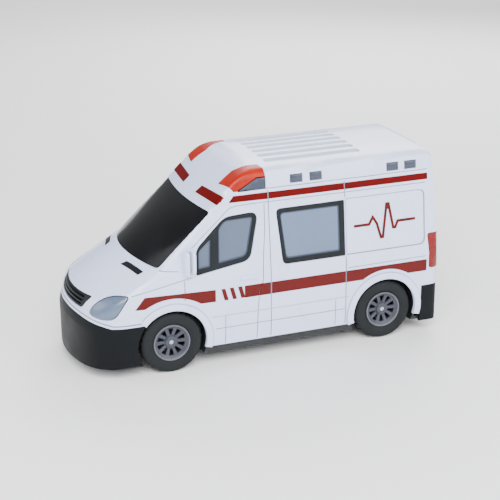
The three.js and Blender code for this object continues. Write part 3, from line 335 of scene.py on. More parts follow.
def turn_to(obj, right, up, out):
    basis = np.array((right, up, out), float)
    put(obj, places(obj) @ basis * MM)
    return outward(obj)


RIGHT, LEFT, UP = (1, 0, 0), (0, 1, 0), (0, 0, 1)


def along_y(name, loop, low, high):
    return turn_to(extruded(name, loop, low, high), RIGHT, UP, LEFT)


def along_x(name, loop, low, high):
    return turn_to(extruded(name, loop, low, high), LEFT, UP, RIGHT)


def apply_modifier(obj, kind, **settings):
    pick(obj)
    modifier = obj.modifiers.new(kind.title(), kind)
    for key, value in settings.items():
        setattr(modifier, key, value)
    bpy.ops.object.modifier_apply(modifier=modifier.name)


def combine(obj, tool, operation):
    """Boolean of two closed pieces; where the piece is lost, a second try lets the tool's own parts meet."""
    kept = obj.data.copy()
    fewest = len(kept.polygons) / 2 if operation == "DIFFERENCE" else 1
    for own in (False, True):
        apply_modifier(obj, "BOOLEAN", operation=operation, object=tool, solver="EXACT", use_self=own,
                       material_mode="TRANSFER")
        if len(obj.data.polygons) >= fewest:
            break
        obj.data = kept.copy()
    else:
        raise RuntimeError(f"{obj.name} was lost in a {operation.lower()}")
    bpy.data.meshes.remove(kept)
    bpy.data.objects.remove(tool)


def split_faces(obj):
    """Splits faces of many corners, and drops a triangle that both its neighbours split off."""
    edit(obj)
    bpy.ops.mesh.dissolve_degenerate(threshold=WELD)
    bpy.ops.mesh.select_face_by_sides(number=4, type="GREATER", extend=False)
    bpy.ops.mesh.quads_convert_to_tris(quad_method="BEAUTY", ngon_method="BEAUTY")
    bpy.ops.mesh.select_mode(type="EDGE")
    bpy.ops.mesh.select_all(action="DESELECT")
    bpy.ops.mesh.select_non_manifold(use_wire=False, use_non_contiguous=False, use_verts=False)
    bpy.ops.mesh.select_mode(type="FACE")
    bpy.ops.mesh.delete(type="FACE")
    bpy.ops.mesh.select_all(action="SELECT")
    bpy.ops.mesh.delete_loose()
    bpy.ops.mesh.select_mode(type="VERT")
    done()
    return obj


def join(objects):
    deselect()
    for obj in objects:
        obj.select_set(True)
    bpy.context.view_layer.objects.active = objects[0]
    bpy.ops.object.join()
    return bpy.context.object


def soften(obj, width, segments=2, limit=50, angle=35):
    if width:
        apply_modifier(obj, "BEVEL", width=width * MM, segments=segments, limit_method="ANGLE",
                       angle_limit=math.radians(limit), use_clamp_overlap=True)
    pick(obj)
    bpy.ops.object.shade_smooth_by_angle(angle=math.radians(angle))
    return obj


def twin(obj, name):
    pick(obj)
    bpy.ops.object.duplicate()
    copy = bpy.context.object
    copy.name = name
    return copy


# Ways of looking at the form: right, up and out, with the span in which the surface is met
DIAGONAL = math.sqrt(0.5)


def flank(side):
    return RIGHT, UP, (0, side, 0), 5, 75


FRONT = (LEFT, UP, RIGHT, 20, 170)
BACK = (LEFT, UP, (-1, 0, 0), 20, 170)
TOP = (RIGHT, LEFT, UP, 50, 170)
BROW = (LEFT, (-DIAGONAL, 0, DIAGONAL), (DIAGONAL, 0, DIAGONAL), 40, 170)


def corner(side, way):
    out = np.array((way, side, 0.0)) * DIAGONAL
    return tuple(np.cross(UP, out)), UP, tuple(out), 20, 170


def shoulder(side):
    return RIGHT, (0, -DIAGONAL * side, DIAGONAL), (0, DIAGONAL * side, DIAGONAL), 20, 170


def beacon_corner(side):
    out = np.array((0.30, 0.72 * side, 0.62))
    out /= np.linalg.norm(out)
    right = np.cross(UP, out)
    right /= np.linalg.norm(right)
    return tuple(right), tuple(np.cross(out, right)), tuple(out), 40, 200


def seen(points, look):
    """Points of the van as seen along a look, as an outline."""
    solid = np.array(points, float)
    return np.stack((solid @ np.array(look[0], float), solid @ np.array(look[1], float)), 1)


def plate(name, outline, look, top, under, holes=(), cell=6.0, edge=0.0, angle=35):
    """Plate that follows the form, from depth level under to level top, both in millimetres."""
    obj = extruded(name, outline, 0, 1)
    for hole in holes:
        combine(obj, extruded("hole", hole, -1, 2), "DIFFERENCE")
    low, high = places(obj).min(0), places(obj).max(0)
    edit(obj)
    for axis, normal in enumerate((RIGHT, LEFT)):
        for spot in np.arange(low[axis] + cell / 2, high[axis], cell):
            bpy.ops.mesh.select_all(action="SELECT")
            bpy.ops.mesh.bisect(plane_co=[spot * n for n in normal], plane_no=normal)
    done()
    right, up, out, near, far = look
    flat = places(obj)
    start = flat[:, :1] * np.array(right, float) + flat[:, 1:2] * np.array(up, float)
    ways = np.tile(np.array(out, float), (len(flat), 1))
    level = np.where(flat[:, 2] > 0.5, top, under)
    put(obj, reach(start, ways, level, near, far) * MM)
    return soften(outward(obj), edge, limit=60, angle=angle)


# The axis that the shell's rays start from, the share of its rings that close each end, and how
# far out towards the sides the depth of the rear is measured
AXIS_FRONT, AXIS_REAR = np.array((85.0, 0.0, 42.0)), np.array((-100.0, 0.0, 65.0))
CAP, NEAR_EDGE = 0.17, 0.85


def rear_tilt(around, share, level, segments):
    """Tilt of the rear rays off the axis, bunched so that the rings run along the rear edge."""
    turns = np.arange(segments) * 2 * math.pi / segments
    middle = np.tile(AXIS_REAR, (segments, 1))
    spoke = np.column_stack((np.zeros(segments), np.cos(turns), np.sin(turns)))
    wide = np.linalg.norm(reach(middle, spoke, level, 1, FARTHEST) - middle, axis=1)
    within = wide * NEAR_EDGE
    astern = np.tile((-1.0, 0.0, 0.0), (segments, 1))
    back = reach(middle + spoke * within[:, None], astern, level, 1, FARTHEST)
    deep = np.sqrt(np.maximum(np.linalg.norm(back - middle, axis=1) ** 2 - within ** 2, 1))
    edge = np.arctan2(wide, deep)[np.round(around / (2 * math.pi) * segments).astype(int) % segments]
    spread, first, last = 0.2, 0.3, 0.8
    inner = share / first * (edge - spread)
    across = edge - spread + (share - first) / (last - first) * 2 * spread
    outer = edge + spread + (share - last) / (1 - last) * (math.pi / 2 - edge - spread)
    return np.where(share < first, inner, np.where(share < last, across, outer))


def hull(name, level, segments, rings):
    """Whole form at a depth level, from a sphere whose points are carried out to the surface."""
    obj = added(name, bpy.ops.mesh.primitive_uv_sphere_add, segments=segments, ring_count=rings)
    ball = places(obj)
    share = np.arccos(np.clip(ball[:, 2], -1, 1)) / math.pi
    around = np.arctan2(ball[:, 1], ball[:, 0])
    body = np.clip((share - CAP) / (1 - 2 * CAP), 0, 1)
    rear = math.pi - rear_tilt(around, np.clip((1 - share) / CAP, 0, 1), level, segments)
    tilt = np.where(share < CAP, share / CAP * math.pi / 2, np.where(share > 1 - CAP, rear, math.pi / 2))
    origin = AXIS_FRONT + (AXIS_REAR - AXIS_FRONT) * body[:, None]
    ways = np.column_stack((np.cos(tilt), np.sin(tilt) * np.cos(around), np.sin(tilt) * np.sin(around)))
    put(obj, reach(origin, ways, level, 1, FARTHEST) * MM)
    return outward(obj)


def spun(name, profile, steps):
    """Ring turned about the Y axis from a closed outline of (radius, y) points."""
    obj = added(name, bpy.ops.mesh.primitive_circle_add, vertices=len(profile), fill_type="NOTHING")
    loop = np.array(profile, float)
    put(obj, np.column_stack((loop[:, 0], loop[:, 1], np.zeros(len(loop)))) * MM)
    edit(obj)
    bpy.ops.mesh.spin(steps=steps, angle=2 * math.pi, center=(0, 0, 0), axis=(0, 1, 0))
    done()
    return outward(obj)


# Materials; the noise is used between a low and a high value, and bump heights are in metres
NOISE_LOW, NOISE_HIGH = 0.3, 0.7
GLOSS_SPREAD, LEAST_ROUGH = 0.06, 0.03
GRAIN_DEEP, RIB_DEEP = 0.0002, 0.0006


def new_material(name):
    material = bpy.data.materials.new(name)
    material.use_nodes = True
    tree = material.node_tree
    return material, tree, tree.nodes["Principled BSDF"]


def add_node(tree, kind, **inputs):
    """Node whose inputs are set to numbers or linked to other nodes' outputs."""
    node = tree.nodes.new(f"ShaderNode{kind}")
    for name, value in inputs.items():
        socket = node.inputs[name.replace("_", " ")]
        if isinstance(value, bpy.types.NodeSocket):
            tree.links.new(value, socket)
        else:
            socket.default_value = value
    return node


def noise(tree, scale, detail=3.0, stretch=None):
    source = add_node(tree, "TexCoord").outputs["Object"]
    if stretch:
        source = add_node(tree, "Mapping", Vector=source, Scale=stretch).outputs["Vector"]
    return add_node(tree, "TexNoise", Vector=source, Scale=scale, Detail=detail).outputs["Fac"]


def ranged(tree, source, low, high):
    node = add_node(tree, "MapRange", Value=source, From_Min=NOISE_LOW, From_Max=NOISE_HIGH,
                    To_Min=low, To_Max=high)
    return node.outputs["Result"]


def finish_material(name, base, rough, mottle=0.05, grain=0.12, grain_scale=1600.0, patch_scale=45.0,
                    stretch=None, metal=0.0, coat=0.0, shine=0.5, ribs=None):
    """Moulded finish: patchy tone, uneven gloss, and a fine grain or ribs as bump."""
    material, tree, shader = new_material(name)
    patch = noise(tree, patch_scale)
    ramp = add_node(tree, "ValToRGB", Fac=patch)
    spots, shares = (NOISE_LOW, NOISE_HIGH), (1 - mottle, 1 + mottle)
    for stop, place, share in zip(ramp.color_ramp.elements, spots, shares):
        stop.position = place
        stop.color = (*[min(1.0, c * share) for c in base], 1)
    tree.links.new(ramp.outputs["Color"], shader.inputs["Base Color"])
    fine = noise(tree, grain_scale, 2.0, stretch)
    gloss = ranged(tree, patch, max(LEAST_ROUGH, rough - GLOSS_SPREAD), rough + GLOSS_SPREAD)
    tree.links.new(gloss, shader.inputs["Roughness"])
    normal = add_node(tree, "Bump", Strength=grain, Distance=GRAIN_DEEP, Height=fine).outputs["Normal"]
    if ribs:
        direction, scale, strength = ribs
        wave = add_node(tree, "TexWave", Vector=add_node(tree, "TexCoord").outputs["Object"], Scale=scale)
        wave.bands_direction = direction
        ridge = add_node(tree, "Bump", Strength=strength, Distance=RIB_DEEP, Height=wave.outputs["Fac"],
                         Normal=normal)
        normal = ridge.outputs["Normal"]
    tree.links.new(normal, shader.inputs["Normal"])
    shader.inputs["Metallic"].default_value = metal
    shader.inputs["Coat Weight"].default_value = coat
    shader.inputs["Specular IOR Level"].default_value = shine
    return material


def finish_of(name):
    """The van's finishes by name, each made once."""
    if name in MADE:
        return MADE[name]
    tones = bpy.context.scene.van_colours
    base, settings = FINISHES[name]
    tone = tuple(getattr(tones, base)) if isinstance(base, str) else base
    MADE[name] = finish_material(name, tone, **settings)
    return MADE[name]


MADE = {}
FINISHES = {
    "white_shell": ("white", dict(rough=0.30, mottle=0.012, grain=0.04, coat=0.2)),
    # Grey painted shade for the grooves, the bumper lip line, the panel line and the mirror neck, where shade
    # falls
    "shut_line": ((0.28, 0.31, 0.42), dict(rough=0.5, mottle=0.08, grain=0.05)),
    "mirror_face": ((0.42, 0.45, 0.50), dict(rough=0.12, mottle=0.05, grain=0.01, metal=0.9)),
    "charcoal_trim": ("charcoal", dict(rough=0.46, mottle=0.15, grain=0.22, shine=0.22)),
    "bumper_black": ((0.0030, 0.0040, 0.0052), dict(rough=0.5, mottle=0.15, grain=0.22, shine=0.14)),
    "dark_glazing": ("screen", dict(rough=0.16, mottle=0.2, grain=0.02, shine=0.25)),
    "pane_frost": ("pane", dict(rough=0.38, mottle=0.09, grain=0.1, patch_scale=30.0)),
    "door_frost": ((0.077, 0.104, 0.166), dict(rough=0.38, mottle=0.09, grain=0.1, patch_scale=30.0)),
    # Dark ring as painted shadow of the window frame on the frosted panes
    "pane_edge": ((0.045, 0.060, 0.095), dict(rough=0.45, mottle=0.1, grain=0.08, shine=0.3)),
    # Darker white as painted shade on the floors of the roof ribs, the flare rim lines and the soft crease
    "rib_floor": ((0.50, 0.56, 0.70), dict(rough=0.4, mottle=0.02, grain=0.04)),
    "lamp_lens": ("lamp", dict(rough=0.28, mottle=0.10, grain=0.05, coat=0.4, ribs=("Z", 190.0, 0.05))),
    "upper_print": ("upper_red", dict(rough=0.40, mottle=0.08, grain=0.05, shine=0.1)),
    "waist_print": ("lower_red", dict(rough=0.40, mottle=0.08, grain=0.05, shine=0.2)),
    "vent_print": ((0.006, 0.007, 0.009), dict(rough=0.5, mottle=0.15, grain=0.1, shine=0.2)),
    "beacon_lens": ("beacon", dict(rough=0.34, mottle=0.2, grain=0.02, patch_scale=70.0, shine=0.25,
                                   ribs=("X", 60.0, 0.04))),
    "marker_lens": ("marker", dict(rough=0.32, mottle=0.12, grain=0.06, coat=0.3)),
    "tail_lens": ((0.17, 0.005, 0.004), dict(rough=0.26, mottle=0.12, coat=0.15, shine=0.3,
                                             ribs=("Z", 150.0, 0.2))),
    "tyre_compound": ((0.010, 0.012, 0.013), dict(rough=0.74, mottle=0.2, grain=0.35, grain_scale=900.0,
                                                  shine=0.22)),
    "rim_paint": ("rim", dict(rough=0.38, mottle=0.1, grain=0.06)),
    "rim_lip": ((0.10, 0.105, 0.13), dict(rough=0.34, mottle=0.06, grain=0.04)),
    "tray_abs": ((0.012, 0.013, 0.014), dict(rough=0.55, mottle=0.2, grain=0.4, grain_scale=700.0)),
    "drawn_steel": ((0.50, 0.51, 0.53), dict(rough=0.28, mottle=0.06, metal=1.0, stretch=(1, 12, 1))),
    "motor_plate": ((0.46, 0.47, 0.48), dict(rough=0.34, mottle=0.08, metal=1.0, stretch=(1, 1, 9))),
    "gear_nylon": ((0.76, 0.73, 0.63), dict(rough=0.45, mottle=0.05, grain=0.1)),
    "board_mask": ((0.022, 0.13, 0.055), dict(rough=0.4, mottle=0.25, patch_scale=150.0)),
    "cell_sleeve": ((0.06, 0.15, 0.085), dict(rough=0.32, mottle=0.1, coat=0.3)),
}
SLOT_FINISH = {
    "white_abs": "white_shell", "charcoal": "charcoal_trim", "dark_screen": "dark_glazing",
    "frosted_pane": "pane_frost", "beacon_red": "beacon_lens", "reflector_grey": "marker_lens",
    "marker_grey": "marker_lens", "tail_red": "tail_lens", "tyre_rubber": "tyre_compound",
    "drive_rubber": "tyre_compound", "rim_grey": "rim_paint", "steel": "drawn_steel",
    "motor_can": "motor_plate", "nylon": "gear_nylon", "black_abs": "tray_abs",
    "board_green": "board_mask", "cell_wrap": "cell_sleeve",
}
NODE_FINISH = {"door_glass_left": "door_frost", "door_glass_right": "door_frost"}


def paint(obj, finish):
    obj.data.materials.clear()
    obj.data.materials.append(finish_of(finish))
    return obj


def place_piece(obj, finish, node=None, body="van"):
    """Finish, replaced node and body of a piece; a finish of None keeps what its cuts gave it."""
    if finish:
        paint(obj, finish)
    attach(obj, body)
    if node:
        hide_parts(node)


# Openings, on the flanks as x and z
def side_window(front, long, corners):
    tall = WINDOW_TOP - WINDOW_Z
    return rounded([(front - back * long, WINDOW_Z + up * tall, radius * tall) for back, up, radius in corners])


DOOR_FRONT, DOOR_LONG, CABIN_FRONT, CABIN_LONG = 53.3, 47.1, -7.7, 52.0
DOOR_WINDOW = side_window(DOOR_FRONT, DOOR_LONG, (
    (0, 0, 0.038), (0.008, 0.468, 0.127), (0.473, 0.985, 0.127), (1.015, 1.02, 0.2), (0.855, 0.152, 0.152)))
QUARTER_PANE = side_window(DOOR_FRONT, DOOR_LONG, (
    (0.042, 0.106, 0.025), (0.053, 0.43, 0.05), (0.257, 0.633, 0.05), (0.227, 0.127, 0.025)))
DOOR_PANE = side_window(DOOR_FRONT, DOOR_LONG, (
    (0.357, 0.162, 0.025), (0.38, 0.785, 0.05), (0.478, 0.919, 0.076), (0.932, 0.929, 0.076),
    (0.805, 0.228, 0.1)))
CABIN_WINDOW = side_window(CABIN_FRONT, CABIN_LONG, (
    (-0.01, 1.013, 0.1), (1, 1.02, 0.025), (1, -0.013, 0.025), (0.069, -0.013, 0.1)))
CABIN_PANE = side_window(CABIN_FRONT, CABIN_LONG, (
    (0.052, 0.929, 0.076), (0.927, 0.934, 0.025), (0.927, 0.086, 0.025), (0.121, 0.081, 0.076)))
MARKER_LONG, MARKER_LOW, MARKER_TOP = 9.6, LEDGE + 1.8, LEDGE + 8.0
MARKERS = [bar(CAB_X - back - MARKER_LONG, CAB_X - back, MARKER_LOW, MARKER_TOP)
           for back in (17.1, 31.9, 91.7, 105.9)]
SCREEN = rounded([(-46.6, 77.4, 3), (0, 81.4, 30), (46.6, 77.4, 3), (45.9, 113.8, 2.5), (-45.9, 113.8, 2.5)])
GRILLE = rounded([(-26.8, 49, 3), (26.8, 49, 3), (31.5, 58.3, 2.5), (-31.5, 58.3, 2.5)])
LAMP_U, LAMP_Z = (HALF - NOSE) * DIAGONAL + 9.4, 54.0
HEADLAMP = path(
    (11.5, 8.4), (-8.5, 8, -13.9, -4.6), (-14.2, -7, -8, -7.5), (-3, -8.4, 2.5, -8.1), (6.4, -8, 9, -3.3),
    (12, 2, 13.9, 6), (14.8, 8.4, 11.5, 8.4))[:-1] + (LAMP_U, LAMP_Z)
TAIL_U = (HALF + REAR) * DIAGONAL
TAIL_LAMP = rounded([(u - TAIL_U, z, 2) for u, z in ((-6.5, 51), (3.5, 51), (3.5, 78), (-6.5, 78))])
REAR_PANE = rounded([(5, 74.2, 4), (36, 74.2, 4), (36, WINDOW_TOP, 4), (5, WINDOW_TOP, 4)])
BEACON = ((28.5, 28.7, 127.4), (23.3, 45.5, 125.6), (-0.7, 45.4, 125.6), (-0.7, 44.5, 133.9),
          (-0.7, 40.0, 138.4), (1.0, 32.7, 139.6), (8.3, 31.0, 139.0), (17.4, 27.3, 135.0))
BEACON_SPLIT = ((20.8, 45.4, 125.9), (6.2, 44.5, 133.8))
PRESSED = rounded([(-123.5, 70, 5), (-60.4, 70, 0.8), (-60.4, 111.2, 0.8), (-123.5, 111.2, 5)])

# Grooves on the flanks: points as x and z, width, depth and, where it isn't the grey painted shade of a shut
# line, finish
FOOT, RAIL = SILL + 1, LEDGE + 0.3
UPRIGHT_LINES = (
    ([(CAB_X, z) for z in (FOOT, 60, LEDGE - 1)], 0.7, 0.6),
    ([(1.2, 115), (1.6, 95), (3.2, 78.6), (4, 62), (4.6, 57.5), (6, 55.4), (6.9, 53.2), (7.5, 45), (8.2, 34.7),
      (8.5, 27.6), (8.7, FOOT)], 0.65, 0.6),
    ([(CABIN_X, z) for z in (FOOT, 69.2)], 0.7, 0.6),
    ([(CABIN_X, z) for z in (112, LEDGE - 1)], 0.7, 0.6),
    ([(62, 53.4), (62, 67.6)], 0.65, 0.6),
    ([(32.5, FOOT), (32.5, 38)], 0.6, 0.5),
    ([(-52.1, FOOT), (-52.1, 37)], 0.6, 0.5),
)
LEVEL_LINES = (
    ([(79, 77.0), (73, 76.2), (66, 75.2)], 0.6, 0.5),
    # Soft crease whose faces take pale painted shade
    ([(43, 38.2), (0, 38.2), (-63, 38.2)], 0.9, 0.4, "rib_floor"),
    ([(100.1, 62.2), (81, 65.4), (61.9, 68.7), (56, 69.7)], 0.6, 0.5),
    ([(55.6, 90.2), (54.5, 91.1), (46.1, 98.4), (38.9, 104.5), (33.9, 108.8), (29.3, 112.8), (26.6, 114.8),
      (22.6, 115.7), (12, 116), (-30, 115.9), (-124, 115.8)], 0.6, 0.5),
    ([(20, RAIL), (-40, RAIL), (-126, RAIL)], 0.6, 0.5),
    ([(40, ROCKER), (0, ROCKER), (-59.5, ROCKER)], 0.6, 0.5),
    ([(-61.5, 60.4), (-90, 60.6), (-124, 61)], 0.6, 0.4),
)
BONNET_EDGE = (
    (104.1, 47.5, 62.9), (97.2, 48.6, 66.5), (89.7, 50.0, 70.2), (82.8, 50.9, 73.6), (75.7, 50.6, 76.5))
LIP_LINE = ((92.4, 41.3), (113, 41.3), (133, 47.1), (150, 51.4))
ROOF_RIBS, RIB_PITCH, RIB_HALF, RIB_FRONT, RIB_BACK = 6, 11, 3.5, -6, -79.5


def on_side(points, side):
    return [(x, side * y, z) for x, y, z in points]


def for_side(loop, side):
    return loop if side > 0 else (loop * (-1, 1))[::-1]


def prism(name, outline, look, near, far):
    right, up, out = look[:3]
    return turn_to(extruded(name, outline, near, far), right, up, out)


# Limits of cutters that run out past the van, and how far a groove's cutter stands proud of it
BELOW, BEHIND, AHEAD, PROUD = -30, -170, 22, 0.8
BUMPER_LINE = (
    (NOSE - 22, BUMPER_TOP), (NOSE - 2, NOSE_LIP), (NOSE + AHEAD, NOSE_LIP + 6), (NOSE + AHEAD, BELOW))


def lower_cut():
    """Region under the shell: sill, wheel arches and both bumpers, seen from the side."""
    sill = math.degrees(math.asin((SILL - AXLE_Z) / ARCH_RADIUS))
    lip = math.degrees(math.asin((BUMPER_TOP - AXLE_Z) / ARCH_RADIUS))
    return np.concatenate((
        [(BEHIND, BELOW), (BEHIND, REAR_BUMPER_TOP), (REAR_BUMPER_X, REAR_BUMPER_TOP), (REAR_BUMPER_X, SILL)],
        arc(REAR_AXLE, AXLE_Z, ARCH_RADIUS, 180 - sill, sill, 48),
        arc(FRONT_AXLE, AXLE_Z, ARCH_RADIUS, 180 - sill, lip, 40), BUMPER_LINE))


def groove(points, look, width=0.85, deep=0.85, finish="shut_line"):
    # The groove's cut faces take its finish, by default grey painted shade
    return paint(plate("groove", ribbon(points, width), look, PROUD, -deep, cell=5.0), finish)


def crosswise(name, loop):
    """Cutter right across the van, from an outline seen from the side."""
    return along_y(name, loop, -90, 90)


class VAN_OT_shell(bpy.types.Operator):
    """Body shell with its openings, shut lines, roof ribs and pressed panel"""

    bl_idname = "van.shell"
    bl_label = "Body shell"

    def execute(self, context):
        shell = hull("shell", 0, 160, 168)
        combine(shell, hull("cavity", -WALL, 96, 96), "DIFFERENCE")
        bumpers = twin(shell, "bumpers")
        paint(shell, "white_shell")
        combine(shell, crosswise("lower", lower_cut()), "DIFFERENCE")
        # The lip line's cut faces take its grey painted shade
        lip = crosswise("lip", ribbon(LIP_LINE, 0.9))
        combine(lip, hull("lip_floor", -0.6, 96, 96), "DIFFERENCE")
        combine(shell, paint(lip, "shut_line"), "DIFFERENCE")

        # Cutters in one group never meet each other
        ends = [along_x("screen", SCREEN, 22, 170), along_x("grille", GRILLE, 100, 170)]
        openings, upright, level = [], [], []
        for _, side in SIDES:
            look = flank(side)
            windows = [DOOR_WINDOW, CABIN_WINDOW, *MARKERS]
            openings += [prism("opening", loop, look, 34, 80) for loop in windows]
            ends.append(prism("lamp", for_side(HEADLAMP, side), corner(side, 1), 90, 160))
            ends.append(prism("tail", for_side(TAIL_LAMP, side), corner(side, -1), 115, 160))
            ends.append(along_x("pane", for_side(REAR_PANE, side), -170, -116))
            dome = beacon_corner(side)
            openings.append(prism("beacon", seen(on_side(BEACON, side), dome), dome, 99, 190))
            upright += [groove(points, look, *rest) for points, *rest in UPRIGHT_LINES]
            # Line round the pressed panel, its cut faces in grey painted shade
            border = plate("panel_line", PRESSED, look, PROUD, -1.0, [shrunk(PRESSED, 0.7)])
            upright.append(paint(border, "shut_line"))
            for x, start in ((FRONT_AXLE, 44), (REAR_AXLE, -12)):
                rim = arc(x, AXLE_Z, ARCH_RADIUS + FLARE_BAND + 0.35, start, 192, 40)
                # Line round each flare, its faces in pale painted shade
                level.append(groove(rim, look, 0.7, 0.5, "rib_floor"))
            slope = shoulder(side)
            upright.append(groove(seen(on_side(BONNET_EDGE, side), slope), slope, 0.8, 0.5, "white_shell"))
            level.append(paint(plate("pressing", PRESSED, look, PROUD, -0.7), "white_shell"))
            level += [groove(points, look, *rest) for points, *rest in LEVEL_LINES]
        upright.append(groove([(0, 40), (0, 84), (0, 128)], BACK))
        for i in range(ROOF_RIBS):
            low, high = ((i - (ROOF_RIBS - 1) / 2) * RIB_PITCH + half for half in (-RIB_HALF, RIB_HALF))
            slot = rounded([(RIB_BACK, low, 2), (RIB_FRONT, low, 2), (RIB_FRONT, high, 2), (RIB_BACK, high, 2)])
            # Rib floors in pale painted shade
            upright.append(paint(plate("rib", slot, TOP, PROUD, -1.3, cell=8.0), "rib_floor"))
        for group in (ends, openings, upright, level):
            combine(shell, join(group), "DIFFERENCE")
        place_piece(soften(split_faces(shell), 0, angle=28), None, "body_shell")

        for name, region in (
            ("front_bumper", ((FRONT_AXLE, BELOW), *BUMPER_LINE[::-1], (FRONT_AXLE, BUMPER_TOP))),
            ("rear_bumper", bar(REAR - AHEAD, REAR_BUMPER_X, BELOW, REAR_BUMPER_TOP)),
        ):
            piece = twin(bumpers, f"{name}_skin")
            combine(piece, crosswise("region", inset(np.array(region, float), GAP)), "INTERSECT")
            for _, x in AXLES:
                combine(piece, crosswise("arch", arc(x, AXLE_Z, ARCH_RADIUS, 0, 354, 60)), "DIFFERENCE")
            combine(piece, crosswise("ground", bar(BEHIND, -BEHIND, -40, 9)), "DIFFERENCE")
            place_piece(soften(split_faces(piece), 0, angle=30), "bumper_black", name)
        bpy.data.objects.remove(bumpers)
        return {"FINISHED"}


class VAN_OT_glazing(bpy.types.Operator):
    """Windscreen, window frames and panes"""

    bl_idname = "van.glazing"
    bl_label = "Glazing"

    def execute(self, context):
        screen = plate("windscreen_pane", inset(SCREEN, GAP), FRONT, -GAP, -1.9, cell=5.0)
        place_piece(screen, "dark_glazing", "windscreen")
        for name, side in SIDES:
            look = flank(side)
            for stem, opening, panes in (
                ("door", DOOR_WINDOW, (QUARTER_PANE, DOOR_PANE)), ("cabin", CABIN_WINDOW, (CABIN_PANE,)),
            ):
                ring = plate(f"{stem}_surround_{name}", inset(opening, GAP), look, -GAP, -1.2, panes, edge=0.2)
                place_piece(ring, "charcoal_trim", f"{stem}_window_frame_{name}")
                for i, pane in enumerate(panes):
                    # Each pane gets a darker ring along its frame as painted shadow
                    outer, inner = shrunk(pane, -0.15), shrunk(pane, 0.9)
                    edge = plate(f"{stem}_pane_edge_{i}_{name}", outer, look, -1.0, -1.6, [inner])
                    place_piece(edge, "pane_edge")
        return {"FINISHED"}


class VAN_OT_lamps(bpy.types.Operator):
    """Headlights, tail lamps, marker lenses and corner beacons"""

    bl_idname = "van.lamps"
    bl_label = "Lamps"

    def execute(self, context):
        for name, side in SIDES:
            lens = plate(f"headlight_{name}", inset(for_side(HEADLAMP, side), 0.6), corner(side, 1), 0.1, -2.2,
                         cell=3.0, edge=0.4)
            place_piece(lens, "lamp_lens", f"headlight_lens_{name}")
            tail = plate(f"tail_{name}", inset(for_side(TAIL_LAMP, side), GAP), corner(side, -1), 0.5, -1.9,
                         cell=3.0, edge=0.4)
            place_piece(tail, "tail_lens", f"tail_lamp_{name}")
            pads = [inset(loop, 0.5) for loop in MARKERS]
            strip = join([plate("marker", pad, flank(side), -GAP, -3.4, edge=0.2) for pad in pads])
            strip.name = f"markers_{name}"
            place_piece(strip, "marker_lens", f"marker_lens_{name}")

            dome = beacon_corner(side)
            first, second = on_side(BEACON_SPLIT, side)
            edge = on_side(BEACON, side)
            cap = seen([edge[0], edge[1], first, second, *edge[3:]], dome)
            lens = plate(f"beacon_{name}", inset(cap, GAP), dome, 0.2, -1.6, cell=1.6, angle=60)
            place_piece(lens, "beacon_lens", f"beacon_lens_{name}")
            back = seen([first, edge[2], edge[3], second], dome)
            panel = plate(f"beacon_panel_{name}", inset(back, GAP), dome, -GAP, -2.0, cell=2.5, edge=0.2)
            place_piece(panel, "marker_lens", f"beacon_reflector_{name}")
        return {"FINISHED"}


# Trim: gaps between slats as y and z, handle as x and z, vent and mirror cover as x and y, mirror
# face and neck as y and z
SLATS = [bar(-24, 24, z, z + 1.3) for z in (50.6, 53.0, 55.4)]
HANDLE = rounded([(8.5, 63.4, 1.1), (21.2, 63.2, 1.1), (21.2, 65.7, 1.1), (8.5, 65.9, 1.1)])
VENT = np.array(((98.4, 20.2), (94.1, 22.0), (88.1, 41.2), (92.0, 40.5)))
MIRROR_COVER = path((59.4, 49.8), (62.8, 49.8), (62.8, 52.4), (62.4, 56.2, 59.4, 56.8))
MIRROR_LOW, MIRROR_TOP = 72.6, 89.4
MIRROR_FACE = rounded([(51, 71.4, 1), (58.3, 74.6, 2.6), (58.7, 91, 5), (51, 89.8, 1.2)])
MIRROR_NECK = rounded([(49.6, 73.6, 0.8), (55, 74.8, 1.5), (55.4, 88.2, 2.5), (49.6, 88.2, 0.8)])
MIRROR_PARTS = (
    # The mirror's recessed neck is painted grey as painted shade
    ("mirror_neck", MIRROR_NECK, 57.2, 59.8, "shut_line", "white_abs"),
    ("mirror_rim", MIRROR_FACE, 55.4, 57.6, "white_shell", "white_abs"),
    ("mirror_glass", inset(MIRROR_FACE, 1.1), 55.1, 55.8, "mirror_face", "steel"),
)


class VAN_OT_trim(bpy.types.Operator):
    """Grille, arch flares, door handles, bonnet vents and mirrors"""

    bl_idname = "van.trim"
    bl_label = "Trim"

    def execute(self, context):
        sizes = context.scene.van_sizes
        grille = plate("grille_slats", inset(GRILLE, GAP), FRONT, -0.5, -2.4, SLATS, cell=5.0, edge=0.2)
        place_piece(grille, "charcoal_trim", "front_grille")
        for name, side in SIDES:
            look = flank(side)
            for end, x, start in (("front", FRONT_AXLE, 40.0), ("rear", REAR_AXLE, -14.0)):
                ring = np.concatenate((arc(x, AXLE_Z, ARCH_RADIUS + FLARE_BAND, start, 194, 44),
                                       arc(x, AXLE_Z, ARCH_RADIUS + 0.05, 194, start, 44)))
                flare = plate(f"flare_{end}_{name}", ring, look, sizes.flare_stand, -0.4, edge=0.35)
                place_piece(flare, "white_shell")
            handle = plate(f"door_handle_{name}", HANDLE, look, 1.7, -0.4, edge=0.5)
            place_piece(handle, "white_shell")
            vent = plate(f"bonnet_vent_{name}", VENT * (1, side), TOP, sizes.sticker_stand, -0.4, cell=4.0)
            place_piece(vent, "vent_print")

            housing = extruded(f"mirror_housing_{name}", MIRROR_COVER * (1, side), MIRROR_LOW, MIRROR_TOP)
            turn_to(housing, RIGHT, LEFT, UP)
            place_piece(soften(housing, 0.8, 3, 40, 40), "white_shell", f"mirror_{name}")
            for stem, outline, back, front, finish, slot in MIRROR_PARTS:
                piece = along_x(f"{stem}_{name}", for_side(outline, side), back, front)
                place_piece(soften(piece, 0.25, 2), finish)
        return {"FINISHED"}


